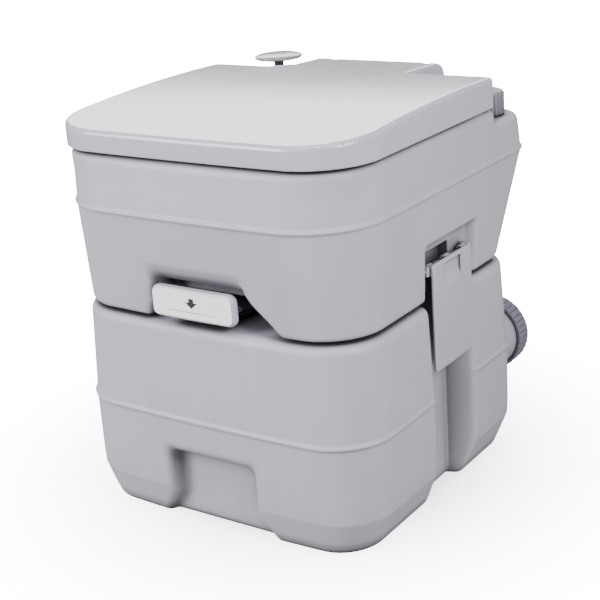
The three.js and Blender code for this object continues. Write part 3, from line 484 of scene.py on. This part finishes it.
def quads_of(inside, index):
    """One quad for each grid edge that enters or leaves the solid, facing out."""
    quads = []
    for axis in range(3):
        u, v = [(axis + 1) % 3, (axis + 2) % 3]
        ahead = np.moveaxis(inside, axis, 0)
        change = np.moveaxis(ahead[1:] != ahead[:-1], 0, axis)
        edges = np.argwhere(change)
        edges = edges[(edges[:, u] > 0) & (edges[:, v] > 0)]
        leaving = inside[tuple(edges.T)]
        ring = []
        for du, dv in ((0, 0), (1, 0), (1, 1), (0, 1)):
            cell = edges.copy()
            cell[:, u] -= du
            cell[:, v] -= dv
            ring.append(index[tuple(cell.T)])
        quad = np.stack(ring, axis=1)
        quads.append(np.where(leaving[:, None], quad, quad[:, ::-1]))
    return np.concatenate(quads)


def mesh_object(name, points, faces):
    """A smooth object from points in millimetres and quads."""
    mesh = bpy.data.meshes.new(name)
    mesh.vertices.add(len(points))
    mesh.vertices.foreach_set("co", (np.asarray(points) * MM).astype(np.float32).ravel())
    mesh.loops.add(faces.size)
    mesh.loops.foreach_set("vertex_index", faces.astype(np.int32).ravel())
    mesh.polygons.add(len(faces))
    mesh.polygons.foreach_set("loop_start", np.arange(0, faces.size, 4, dtype=np.int32))
    mesh.update(calc_edges=True)
    mesh.shade_smooth()
    obj = bpy.data.objects.new(name, mesh)
    bpy.context.scene.collection.objects.link(obj)
    return obj


def dressed(obj, body, slot, material, *nodes):
    """Gives a piece its body and its material, and hides the CAD nodes it stands for. The slot argument is not
    used.
    """
    obj.data.materials.clear()
    obj.data.materials.append(material)
    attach(obj, body)
    if nodes:
        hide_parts(*nodes)
    return obj


def shell(name, field, low, high, cell):
    """A moulding meshed from its field, shaded with the field's own slope so that no facet shows."""
    points, faces = net(field, low, high, cell)
    obj = mesh_object(name, points, faces)
    normals = slope_of(points, field, 0.35)
    normals /= np.linalg.norm(normals, axis=1, keepdims=True) + 1e-9
    obj.data.normals_split_custom_set_from_vertices(normals)
    return obj


def loft_faces(levels, around):
    """Quads over levels of equally many points; level after level faces outwards when the levels rise."""
    level, step = np.meshgrid(np.arange(levels - 1), np.arange(around), indexing="ij")
    here = level * around + step
    beside = level * around + (step + 1) % around
    return np.stack([here, beside, beside + around, here + around], axis=-1).reshape(-1, 4)


def rounded_profile(profile, radius=0.5, steps=3):
    """A closed [radius, height] outline with each corner cut to a small arc of points."""
    points = [np.array(p, float) for p in profile]
    out = []
    for i, corner in enumerate(points):
        before, after = points[i - 1], points[(i + 1) % len(points)]
        if corner[0] < 1e-6:
            out.append(corner)
            continue
        back, ahead = before - corner, after - corner
        reach = min(radius, 0.45 * np.linalg.norm(back), 0.45 * np.linalg.norm(ahead))
        a = corner + back / np.linalg.norm(back) * reach
        b = corner + ahead / np.linalg.norm(ahead) * reach
        for t in np.linspace(0, 1, steps + 1):
            out.append((1 - t) ** 2 * a + 2 * t * (1 - t) * corner + t * t * b)
    return np.array(out)


def turned(name, profile, centre, axis="z", around=96, radius=0.5, flute=None):
    """A lathed piece from a closed [radius, height] outline. Flute pushes the wall in round the axis."""
    outline = rounded_profile(profile, radius)
    angle = np.linspace(0, 2 * math.pi, around, endpoint=False)
    rings = []
    for r, h in [*outline, outline[0]]:
        reach = r + (flute(angle, r, h) if flute else 0 * angle)
        across, up = reach * np.cos(angle), reach * np.sin(angle)
        level = np.full(around, h)
        rings.append(np.stack([across, up, level] if axis == "z" else [across, level, up], axis=1))
    points = np.concatenate(rings) + np.array(centre, float)
    faces = loft_faces(len(rings), around)
    if axis != "z":
        faces = faces[:, ::-1]
    obj = mesh_object(name, points, faces)
    return tidied(obj)


def tidied(obj, merge=0.02):
    """Welds the seam and the poles of a turned mesh and makes its faces look outwards."""
    work = bmesh.new()
    work.from_mesh(obj.data)
    bmesh.ops.remove_doubles(work, verts=work.verts, dist=merge * MM)
    bmesh.ops.recalc_face_normals(work, faces=work.faces)
    work.to_mesh(obj.data)
    work.free()
    obj.data.shade_smooth()
    return obj


def bevelled_block(name, low, high, radius=0.8):
    """A block with rounded edges, from its corners in millimetres."""
    work = bmesh.new()
    bmesh.ops.create_cube(work, size=1)
    low, high = Vector(low) * MM, Vector(high) * MM
    for v in work.verts:
        v.co = Vector(low[i] + (v.co[i] + 0.5) * (high[i] - low[i]) for i in range(3))
    bmesh.ops.bevel(work, geom=work.edges, offset=radius * MM, segments=3, profile=0.5, affect="EDGES")
    mesh = bpy.data.meshes.new(name)
    work.to_mesh(mesh)
    work.free()
    mesh.shade_smooth()
    obj = bpy.data.objects.new(name, mesh)
    bpy.context.scene.collection.objects.link(obj)
    return obj


# ---- materials -----------------------------------------------------------------------------------
class Nodes:
    """Short names for building one node material."""

    def __init__(self, name, roughness, ior=1.5, metallic=0.0, coat=0.0):
        self.material = bpy.data.materials.new(name)
        self.material.use_nodes = True
        self.tree = self.material.node_tree
        self.shader = self.tree.nodes["Principled BSDF"]
        self.shader.inputs["Roughness"].default_value = roughness
        self.shader.inputs["IOR"].default_value = ior
        self.shader.inputs["Metallic"].default_value = metallic
        self.shader.inputs["Coat Weight"].default_value = coat
        self.place = self.add("ShaderNodeTexCoord").outputs["Object"]

    def add(self, kind, **settings):
        node = self.tree.nodes.new(kind)
        for key, value in settings.items():
            setattr(node, key, value)
        return node

    def link(self, source, target):
        self.tree.links.new(source, target)

    def stretched(self, scale):
        mapping = self.add("ShaderNodeMapping")
        mapping.inputs["Scale"].default_value = scale
        self.link(self.place, mapping.inputs["Vector"])
        return mapping.outputs["Vector"]

    def noise(self, scale, detail=3.0, stretch=None):
        node = self.add("ShaderNodeTexNoise")
        node.inputs["Scale"].default_value = scale
        node.inputs["Detail"].default_value = detail
        self.link(self.stretched(stretch) if stretch else self.place, node.inputs["Vector"])
        return node.outputs["Fac"]

    def ramped(self, source, low, high, from_low=0.3, from_high=0.7):
        """The source's range, by default the middle of a noise, stretched to run from low to high."""
        node = self.add("ShaderNodeMapRange")
        limits = {"From Min": from_low, "From Max": from_high, "To Min": low, "To Max": high}
        for socket, value in limits.items():
            node.inputs[socket].default_value = value
        self.link(source, node.inputs["Value"])
        return node.outputs["Result"]

    def mixed(self, factor, colour_a, colour_b):
        """From the first colour to the second as the factor goes from 0 to 1."""
        node = self.add("ShaderNodeMix", data_type="RGBA")
        self.link(factor, node.inputs["Factor"])
        for socket, colour in ((node.inputs["A"], colour_a), (node.inputs["B"], colour_b)):
            if isinstance(colour, tuple):
                socket.default_value = (*colour, 1)
            else:
                self.link(colour, socket)
        return node.outputs["Result"]

    def painted_crevice_shade(self, reach, only_local):
        """How much painted shade a place gets from lying in a gap or a corner: 0 in the open, 1 in a deep slot."""
        node = self.add("ShaderNodeAmbientOcclusion", samples=8, only_local=only_local)
        node.inputs["Distance"].default_value = reach
        return self.ramped(node.outputs["AO"], 1, 0, 0.3, 0.93)

    def bump(self, height, strength, distance, below=None):
        node = self.add("ShaderNodeBump")
        node.inputs["Strength"].default_value = strength
        node.inputs["Distance"].default_value = distance
        self.link(height, node.inputs["Height"])
        if below is not None:
            self.link(below, node.inputs["Normal"])
        self.link(node.outputs["Normal"], self.shader.inputs["Normal"])
        return node.outputs["Normal"]

    def finish(self, colour, roughness=None):
        self.link(colour, self.shader.inputs["Base Color"])
        if roughness is not None:
            self.link(roughness, self.shader.inputs["Roughness"])
        return self.material


def shade(colour, factor):
    return tuple(c * factor for c in colour)


# How far the painted crevice shade looks for the wall across it, in metres.
SHADE_RECESS_REACH = 0.12
SHADE_GAP_REACH = 0.018


def moulded(name, colour, roughness, stipple, grain=1500, ior=1.46):
    """Blow-moulded plastic: a fine stipple over faint clouds and flow marks, paler on worn edges, with painted
    shade in its recesses and in the gaps to its neighbours.
    """
    m = Nodes(name, roughness, ior)
    clouds = m.ramped(m.noise(9, 4), 0, 1)
    flow = m.ramped(m.noise(60, 3, (1, 1, 0.12)), 0, 1)
    base = m.mixed(clouds, shade(colour, 0.965), shade(colour, 1.035))
    base = m.mixed(m.ramped(flow, 0, 0.35), base, shade(colour, 0.94))
    edge = m.add("ShaderNodeNewGeometry").outputs["Pointiness"]
    base = m.mixed(m.ramped(edge, 0, 0.3, 0.52, 0.60), base, shade(colour, 1.18))
    # Painted shade: deep recesses of the moulding itself are darkened where shadow falls, and so are the narrow
    # gaps to its neighbours.
    base = m.mixed(m.painted_crevice_shade(SHADE_RECESS_REACH, only_local=True), base, shade(colour, 0.05))
    base = m.mixed(m.painted_crevice_shade(SHADE_GAP_REACH, only_local=False), base, shade(colour, 0.1))
    specks = m.noise(grain, 2)
    waves = m.bump(m.noise(22, 2), 0.25, 0.0012)
    m.bump(specks, stipple, 0.00022, below=waves)
    return m.finish(base, m.ramped(m.noise(35, 3), roughness - 0.05, roughness + 0.06))


def polished(name, colour, roughness, coat=0.25):
    """Injection-moulded gloss: faint clouds, hairline scratches and long soft waves under a thin coat."""
    m = Nodes(name, roughness, 1.5, coat=coat)
    m.shader.inputs["Coat Roughness"].default_value = 0.16
    clouds = m.ramped(m.noise(7, 3), 0, 1)
    base = m.mixed(clouds, shade(colour, 0.993), shade(colour, 1.007))
    scratches = m.ramped(m.noise(240, 2, (1, 0.03, 1)), 0, 1, 0.62, 0.72)
    base = m.mixed(m.ramped(scratches, 0, 0.12, 0, 1), base, shade(colour, 1.15))
    waves = m.bump(m.noise(6, 1), 0.02, 0.001)
    m.bump(m.noise(900, 2), 0.02, 0.0001, below=waves)
    return m.finish(base, m.ramped(m.noise(5, 1), roughness - 0.01, roughness + 0.02))


def rubbery(name, colour):
    """Matt rubber with a fine grain and chalky patches."""
    m = Nodes(name, 0.75, 1.5)
    base = m.mixed(m.ramped(m.noise(120, 4), 0, 1), shade(colour, 0.8), shade(colour, 1.5))
    m.bump(m.noise(1800, 2), 0.3, 0.0002)
    return m.finish(base, m.ramped(m.noise(80, 3), 0.68, 0.88))


def drawn_steel(name, colour):
    """Drawn wire and pins: bright steel with fine lines along one way."""
    m = Nodes(name, 0.28, 1.5, metallic=1.0)
    lines = m.noise(900, 2, (1, 0.04, 1))
    base = m.mixed(m.ramped(lines, 0, 1), shade(colour, 0.85), colour)
    m.bump(lines, 0.15, 0.0001)
    return m.finish(base, m.ramped(m.noise(140, 3), 0.22, 0.42))


COOL_CAST = (0.99, 0.975, 1.035)  # the greys lean a little towards violet


def record_colour(slot):
    """The record's colour of a slot, with the photograph's slight cast."""
    colour = next(m for m in frame["record"]["materials"] if m["slot"] == slot)["base_color"][:3]
    return tuple(c * cast for c, cast in zip(colour, COOL_CAST))


MATERIALS = {
    "tank_grey": moulded("tank_grey", record_colour("tank_grey"), 0.5, 0.35),
    "lid_grey": polished("lid_grey", shade(record_colour("lid_grey"), 0.88), 0.22),
    "cap_grey": moulded("cap_grey", record_colour("cap_grey"), 0.45, 0.25, 1100),
    "dark_plastic": moulded("dark_plastic", record_colour("dark_plastic"), 0.4, 0.2, 1100),
    "bowl_plastic": polished("bowl_plastic", record_colour("bowl_plastic"), 0.18, 0.4),
    "label_white": polished("label_white", record_colour("label_white"), 0.3),
    "rubber": rubbery("rubber", record_colour("rubber")),
    "steel": drawn_steel("steel", record_colour("steel")),
}
PRINT_INK = moulded("print_ink", (0.02, 0.02, 0.022), 0.5, 0.1)
HANDLE_GREY = polished("handle_grey", shade(record_colour("lid_grey"), 0.9), 0.3)
LABEL_WHITE = polished("label_card", (0.98, 0.98, 0.97), 0.3)
KNOB_SILVER = polished("knob_silver", shade(record_colour("label_white"), 0.25), 0.2)


# ---- the pieces ----------------------------------------------------------------------------------
def piece(obj, body, slot, *nodes):
    """Dresses a piece in the usual finish of its slot."""
    return dressed(obj, body, slot, MATERIALS[slot], *nodes)


def build_shells():
    """The big mouldings, each from its field."""
    coarse, fine = (2.5, 2.5, 1.6), (1.0, 1.0, 1.0)
    waste = shell("waste_tank_shell", waste_field, WASTE_LOW, WASTE_HIGH, coarse)
    piece(waste, "waste_base", "tank_grey", "waste_tank")
    neck_top = (FRESH_HIGH[0], FRESH_HIGH[1], FILL[2])
    fresh = shell("fresh_tank_shell", fresh_field, FRESH_LOW, neck_top, coarse)
    piece(fresh, "fresh_unit", "tank_grey", "fresh_tank")
    lid_top = (LID_HIGH[0], LID_HIGH[1], LID_HIGH[2] + LID_DOME)
    lid = shell("lid_shell", lid_field, LID_LOW, lid_top, (2.0, 2.0, 1.0))
    piece(lid, "lid", "lid_grey", "lid")
    seat = shell("seat_ring", seat_field, SEAT_LOW, SEAT_HIGH, (2.5, 2.5, 1.2))
    piece(seat, "seat", "lid_grey", "seat")
    handle = shell("pull_handle_grip", handle_field, HANDLE_LOW, HANDLE_HIGH, fine)
    dressed(handle, "valve_slide", "lid_grey", HANDLE_GREY, "pull_handle")
    for side, word in ((1, "right"), (-1, "left")):
        node = f"latch_{word}"
        plate = shell(f"latch_plate_{word}", latch_field(side), *node_box(node), fine)
        piece(plate, node, "tank_grey", node)


def rounded_outline(half, low, high, radius, steps=8):
    """Points round a rectangle with rounded corners, in X and Z."""
    points = []
    for turn, (x, z) in enumerate(((half, high), (-half, high), (-half, low), (half, low))):
        middle = x - math.copysign(radius, x), z - radius if z == high else z + radius
        for step in range(steps + 1):
            angle = (turn + step / steps) * math.pi / 2
            points.append((middle[0] + radius * math.cos(angle), middle[1] + radius * math.sin(angle)))
    return points


def build_label():
    """The white plate of the pull handle, with a generic arrow and a ruled line in place of its word."""
    front = node_box("pull_label")[0][1]
    rim = 2.6  # how much of the handle still shows round the plate
    outline = rounded_outline(HANDLE_HIGH[0] - rim, HANDLE_LOW[2] + rim, HANDLE_HIGH[2] - rim, 4.5)
    plate = inlay("label_plate", outline, front, proud=0, deep=1.6)
    dressed(plate, "valve_slide", "label_white", LABEL_WHITE, "pull_label")
    middle = (HANDLE_LOW[2] + HANDLE_HIGH[2]) / 2
    shaft, wing, tip = 3, 7.5, 4.5
    neck, tail = 1.5, 5.5
    right_half = [(shaft, tail), (shaft, neck), (wing, neck)]
    left_half = [(-x, z) for x, z in reversed(right_half)]
    arrow = [left_half[-1], *right_half, (0, -tip), *left_half[:-1]]
    mark = inlay("label_arrow", [(x, middle + 2 + z) for x, z in arrow], front)
    dressed(mark, "valve_slide", "dark_plastic", PRINT_INK)
    half, thin, rule_z = 30, 0.25, middle - 6.6
    low, high = rule_z - thin, rule_z + thin
    rule = inlay("label_rule", [(-half, low), (half, low), (half, high), (-half, high)], front)
    dressed(rule, "valve_slide", "dark_plastic", PRINT_INK)


def inlay(name, outline, face_y, proud=0.06, deep=0.4):
    """A thin flat mark set into a face that looks along -Y, from an outline in X and Z."""
    work = bmesh.new()
    ring = [work.verts.new((x * MM, (face_y - proud) * MM, z * MM)) for x, z in outline]
    face = work.faces.new(ring)
    grown = bmesh.ops.extrude_face_region(work, geom=[face])["geom"]
    for v in (g for g in grown if isinstance(g, bmesh.types.BMVert)):
        v.co.y += (proud + deep) * MM
    bmesh.ops.recalc_face_normals(work, faces=work.faces)
    mesh = bpy.data.meshes.new(name)
    work.to_mesh(mesh)
    work.free()
    obj = bpy.data.objects.new(name, mesh)
    bpy.context.scene.collection.objects.link(obj)
    return obj


def cap_outline(neck, neck_end, radius, start, top, crown):
    """Section of a screw cap: skirt, rim, and a shallow dish in its top."""
    inside = neck_end + 3.0
    return [
        (0, inside),
        (neck + 0.8, inside),
        (neck + 0.8, start),
        (radius, start),
        (radius, top - crown),
        (radius - 2, top),
        (radius - 8, top),
        (radius - 10, top - 1.4),
        (0, top - 1.4),
    ]


def knurl(count, depth, outer):
    """Grip flutes round a cap's wall: rounded ribs with narrow grooves, on the outer wall only."""

    def flute(angle, radius, height):
        wave = np.cos(angle * count)
        groove = np.clip((wave - 0.35) / 0.65, 0, 1) ** 1.5
        return -depth * groove if radius > outer - 0.7 else 0 * angle

    return flute


def build_caps():
    """The fill cap and the pour-out spout's cap, with grip bars across the spout cap's face."""
    low, high = node_box("fill_cap")
    radius = (high[0] - low[0]) / 2
    outline = cap_outline(FILL_NECK, FILL[2], radius, low[2], high[2], 2.5)
    flutes = knurl(28, 1.1, radius)
    cap = turned("fill_cap_body", outline, (FILL[0], FILL[1], 0), around=280, flute=flutes)
    piece(cap, "fill_cap", "cap_grey", "fill_cap")
    low, high = node_box("spout_cap")
    radius = (high[2] - low[2]) / 2
    outline = cap_outline(SPOUT_OUTER, SPOUT[1], radius, low[1], high[1], 3)
    flutes = knurl(40, 1.2, radius)
    cap = turned("spout_cap_body", outline, (SPOUT[0], 0, SPOUT[2]), "y", 360, flute=flutes)
    piece(cap, "spout_cap", "cap_grey", "spout_cap")
    for i, (bar_low, bar_high) in enumerate(cap_bars()):
        piece(bevelled_block(f"spout_cap_bar_{i}", bar_low, bar_high, 1.2), "spout_cap", "cap_grey")


def cap_bars():
    """Two crossed grip bars in the dish of the spout cap, just under its rim."""
    top = node_box("spout_cap")[1][1]
    x, z = SPOUT[0], SPOUT[2]
    long, wide = 30, 4
    low, high = top - 1.8, top - 0.2
    return [
        ((x - long, low, z - wide), (x + long, high, z + wide)),
        ((x - wide, low, z - long), (x + wide, high, z + long)),
    ]


SPOUT_INNER, SPOUT_OUTER, SPOUT_FLANGE = 33, 38, 41


def build_neck():
    """The pour-out spout's neck, with its flange inside the tank."""
    low, high = node_box("spout_neck")
    start, end = low[1], high[1]
    flange = start + 3.5
    outline = [
        (SPOUT_INNER, start),
        (SPOUT_FLANGE, start),
        (SPOUT_FLANGE, flange),
        (SPOUT_OUTER, flange),
        (SPOUT_OUTER, end),
        (SPOUT_INNER, end),
    ]
    neck = turned("spout_neck_tube", outline, (SPOUT[0], 0, SPOUT[2]), "y", 128)
    piece(neck, "waste_base", "tank_grey", "spout_neck")


KNOB_LIFT = 3.5  # the knob stands this much higher than in the CAD, as the lid's dome does
ROD_RADIUS = 5.5
TUBE_INNER, TUBE_OUTER = 14.6, 17


def build_pump():
    """The knob, its stem, the collar it slides in, and the pump's tube."""
    x, y = PUMP[0], PUMP[1]
    low, high = node_box("pump_knob")
    radius, top = (high[0] - low[0]) / 2, high[2] + KNOB_LIFT
    foot = low[2] + KNOB_LIFT
    knob = [
        (0, foot),
        (8.5, foot),
        (11, foot + 1.6),
        (20, foot + 2.4),
        (radius - 2, foot + 3.6),
        (radius, foot + 5.4),
        (radius - 1.2, top - 2.6),
        (radius - 5, top - 1.5),
        (radius - 14, top - 0.4),
        (0, top),
    ]
    knob = turned("pump_knob_disc", knob, (x, y, 0), around=160, radius=2)
    dressed(knob, "pump_plunger", "label_white", KNOB_SILVER, "pump_knob")
    low, high = node_box("pump_rod")
    stem_top = high[2] + KNOB_LIFT
    stem = [(0, low[2]), (ROD_RADIUS, low[2]), (ROD_RADIUS, stem_top), (0, stem_top)]
    piece(turned("pump_stem", stem, (x, y, 0), around=64), "pump_plunger", "dark_plastic", "pump_rod")
    low, high = node_box("pump_collar")
    outer = (high[0] - low[0]) / 2
    bore, bottom, top = ROD_RADIUS + 0.4, low[2], high[2]
    collar = [
        (bore, bottom),
        (outer, bottom),
        (outer, top - 3),
        (outer - 4, top),
        (8, top),
        (bore, top - 1),
    ]
    piece(turned("pump_collar_ring", collar, (x, y, 0), radius=1), "fresh_unit", "lid_grey", "pump_collar")
    low, high = node_box("pump_cylinder")
    flange = (high[0] - low[0]) / 2
    seat = high[2] - 2.2
    tube = [
        (TUBE_INNER, low[2]),
        (TUBE_OUTER, low[2]),
        (TUBE_OUTER, seat),
        (flange, seat),
        (flange, high[2]),
        (TUBE_INNER, high[2]),
    ]
    piece(turned("pump_tube", tube, (x, y, 0)), "fresh_unit", "lid_grey", "pump_cylinder")


def build_bowl():
    """The bowl as one smooth skin with a rolled rim, from the ovals its CAD outline runs through."""
    wall, around = 3, 128
    angle = np.linspace(0, 2 * math.pi, around, endpoint=False)

    def ring(z, grow):
        rx, ry, middle = bowl_oval(z)
        across, along = (rx + grow) * np.cos(angle), middle + (ry + grow) * np.sin(angle)
        return np.stack([across, along, np.full(around, z)], axis=1)

    heights = np.linspace(BOWL_LOW[2], DECK_Z, 24)
    rim_top = BOWL_HIGH[2]
    outside = [ring(z, 0) for z in heights[:-1]]
    under_rim = DECK_Z + 0.4
    rolled = [
        (-0.2, DECK_Z),
        (1, under_rim),
        (8.2, under_rim),
        (9, DECK_Z + 1),
        (8.2, rim_top),
        (-1, rim_top),
    ]
    rim = []
    for grow, z in rolled:
        level = ring(DECK_Z, grow)
        level[:, 2] = z
        rim.append(level)
    inside = [ring(z, -wall) for z in heights[::-1]]
    rings = [*outside, *rim, *inside, outside[0]]
    bowl = mesh_object("bowl_skin", np.concatenate(rings), loft_faces(len(rings), around))
    piece(tidied(bowl), "fresh_unit", "bowl_plastic", "bowl")


def build_hinge():
    """Lugs on the tank, knuckles on the lid and the steel pins they turn on."""
    y, z = HINGE[1], HINGE[2]
    for side, word in ((1, "right"), (-1, "left")):
        for name, body, slot, middle in (
            ("hinge_lug", "fresh_unit", "tank_grey", LUG_X),
            ("lid_knuckle", "lid", "lid_grey", LUG_X - 10),
        ):
            near, far = sorted((side * (middle - 4), side * (middle + 4)))
            eye = [(PIN_BORE, near), (EYE_RADIUS, near), (EYE_RADIUS, far), (PIN_BORE, far)]
            knuckle = turned(f"{name}_{word}", eye, (0, 0, 0), "y", 48)
            turn_to_x(knuckle, y, z)
            piece(knuckle, body, slot)
            if body == "fresh_unit":
                post = bevelled_block(f"hinge_post_{word}", (near, y - 13, 376), (far, y - 4, z - 2), 1)
            else:
                post = bevelled_block(f"knuckle_web_{word}", (near, y - 5, z + 4), (far, y + 4, 415), 1)
            piece(post, body, slot)
        near, far = sorted((side * 33, side * 66))
        pin = [(0, near), (3, near), (3, far), (0, far)]
        pin = turned(f"hinge_steel_pin_{word}", pin, (0, 0, 0), "y", 32)
        turn_to_x(pin, y, z)
        piece(pin, "fresh_unit", "steel", f"hinge_pin_{word}")


def turn_to_x(obj, y, z):
    """Turns a piece lathed about Y so that its axis runs along X through y, z."""
    obj.data.transform(Matrix(((0, 1, 0, 0), (1, 0, 0, y * MM), (0, 0, 1, z * MM), (0, 0, 0, 1))))
    obj.data.flip_normals()
    obj.data.update()


def coil_curve(name, centre, low, high, turns=4, radius=3.9, wire=0.7):
    """A torsion spring's coil along Y, from its ends and the X and Z of its axis."""
    steps = np.linspace(0, 1, turns * 24 + 1)
    angle = steps * turns * 2 * math.pi
    curve = bpy.data.curves.new(name, "CURVE")
    curve.dimensions = "3D"
    curve.bevel_depth = wire * MM
    curve.bevel_resolution = 3
    spline = curve.splines.new("POLY")
    spline.points.add(len(steps) - 1)
    for point, t, a in zip(spline.points, steps, angle):
        x, z = centre[0] + radius * math.cos(a), centre[1] + radius * math.sin(a)
        y = low + wire + t * (high - low - 2 * wire)
        point.co = (x * MM, y * MM, z * MM, 1)
    coil = bpy.data.objects.new(name, curve)
    bpy.context.scene.collection.objects.link(coil)
    return coil


def build_latch_fittings():
    """The ears, pin and torsion spring of each latch."""
    for side, word in ((1, "right"), (-1, "left")):
        x_low, x_high = sorted((side * 162, side * (PIN_X + 4.5)))
        for end, (y0, y1) in enumerate(((-45, -40.8), (40.8, 46))):
            ear_low, ear_high = (x_low, y0, PIN_Z - 5), (x_high, y1, PIN_Z + 5)
            ear = bevelled_block(f"latch_ear_{word}_{end}", ear_low, ear_high, 1)
            piece(ear, "fresh_unit", "tank_grey")
        low, high = node_box(f"latch_pin_{word}")
        pin = [(0, low[1]), (2.5, low[1]), (2.5, high[1]), (0, high[1])]
        pin = turned(f"latch_steel_pin_{word}", pin, (side * PIN_X, 0, PIN_Z), "y", 32)
        piece(pin, "fresh_unit", "steel", f"latch_pin_{word}")
        low, high = node_box(f"latch_spring_{word}")
        coil = coil_curve(f"latch_coil_{word}", (side * PIN_X, PIN_Z), low[1], high[1])
        piece(coil, "fresh_unit", "steel", f"latch_spring_{word}")


def dress_cad_nodes():
    """Every CAD node that still shows gets the finish of its slot."""
    slots = {s["node"]: s["material_slot"] for s in frame["record"]["subparts"]}
    for name, obj in frame["nodes"].items():
        obj.data.materials.clear()
        obj.data.materials.append(MATERIALS[slots[name]])


# ---- stage, lights, camera -----------------------------------------------------------------------
WORLD_STRENGTH = 0.3
FLOOR_REACH = 60  # half the floor's side, in metres
# The floor's glow rises from dim under the object to bright far away; the dim part is a painted shadow under the
# object.
GLOW_NEAR, GLOW_FAR = 0.35, 22.0
PAINTED_SHADOW_GLOW, GLOW_BRIGHT = 0.12, 0.55


def area_light(name, place, target, size, power):
    """A soft box at a place in metres, turned towards the target, with its power in watts."""
    data = bpy.data.lights.new(name, "AREA")
    data.shape = "RECTANGLE"
    data.size, data.size_y = size
    data.energy = power
    light = bpy.data.objects.new(name, data)
    light.location = place
    light.rotation_euler = (Vector(target) - Vector(place)).to_track_quat("-Z", "Y").to_euler()
    bpy.context.scene.collection.objects.link(light)


def build_stage():
    """A white sweep: bright paper that runs off on every side, with a painted shadow that makes it a little darker
    under the object.
    """
    corners = [(x * FLOOR_REACH, y * FLOOR_REACH, 0) for x, y in ((-1, -1), (1, -1), (1, 1), (-1, 1))]
    mesh = bpy.data.meshes.new("floor")
    mesh.from_pydata(corners, [], [(0, 1, 2, 3)])
    floor = bpy.data.objects.new("floor", mesh)
    bpy.context.scene.collection.objects.link(floor)
    m = Nodes("floor_paper", 0.9)
    paper = m.mixed(m.ramped(m.noise(30, 4), 0, 1), (0.92, 0.92, 0.92), (0.95, 0.95, 0.95))
    away = m.add("ShaderNodeVectorMath", operation="LENGTH")
    m.link(m.place, away.inputs[0])
    # Painted shadow: the glow is dimmest under the object and rises away from it.
    glow = m.ramped(away.outputs["Value"], GLOW_NEAR, GLOW_FAR, PAINTED_SHADOW_GLOW, GLOW_BRIGHT)
    m.shader.inputs["Emission Color"].default_value = (1, 1, 1, 1)
    m.link(glow, m.shader.inputs["Emission Strength"])
    mesh.materials.append(m.finish(paper))
    # The paper's glow is only for the camera; the world below it lights the object's underside.
    floor.visible_diffuse = False
    floor.visible_glossy = False
    world = bpy.data.worlds.new("studio")
    world.use_nodes = True
    background = world.node_tree.nodes["Background"]
    background.inputs["Color"].default_value = (1, 1, 1, 1)
    background.inputs["Strength"].default_value = WORLD_STRENGTH
    bpy.context.scene.world = world


def build_lights():
    """Soft boxes for the front and the right side, a low card behind for the lid, and one overhead."""
    middle = (0, 0, 0.22)
    area_light("front_box", (-1.2, -1.9, 1.0), middle, (1.2, 1.4), 94)
    area_light("side_box", (1.2, -0.42, 0.8), middle, (0.6, 0.8), 24)
    area_light("lid_card", (-1.7, 2.46, 1.75), (0, 0, 0.41), (2.4, 1.2), 56)
    area_light("top_box", (0.1, -0.5, 2.4), middle, (1.0, 1.0), 22)


# The photograph's view: where it was taken from in metres, its angles in degrees and its lens in mm.
CAMERA_PLACE = (0.7816, -1.1154, 0.6734)
CAMERA_YAW, CAMERA_PITCH, CAMERA_ROLL = 35.35, 19.6, -4.1
CAMERA_LENS = 79.97


def build_camera():
    """A long lens from the front right, a little above and tilted a little."""
    yaw, pitch, roll = (math.radians(a) for a in (CAMERA_YAW, CAMERA_PITCH, CAMERA_ROLL))
    forward = Vector((-math.sin(yaw) * math.cos(pitch), math.cos(yaw) * math.cos(pitch), -math.sin(pitch)))
    level = Vector((math.cos(yaw), math.sin(yaw), 0))
    upright = level.cross(forward)
    right = level * math.cos(roll) + upright * math.sin(roll)
    up = upright * math.cos(roll) - level * math.sin(roll)
    data = bpy.data.cameras.new("camera")
    data.lens = CAMERA_LENS
    data.sensor_width = 36
    camera = bpy.data.objects.new("camera", data)
    axes = Matrix((right, up, -forward)).transposed()
    camera.matrix_world = Matrix.Translation(CAMERA_PLACE) @ axes.to_4x4()
    bpy.context.scene.collection.objects.link(camera)
    bpy.context.scene.camera = camera


dress_cad_nodes()
build_shells()
build_label()
build_caps()
build_neck()
build_pump()
build_bowl()
build_hinge()
build_latch_fittings()
build_stage()
build_lights()
build_camera()
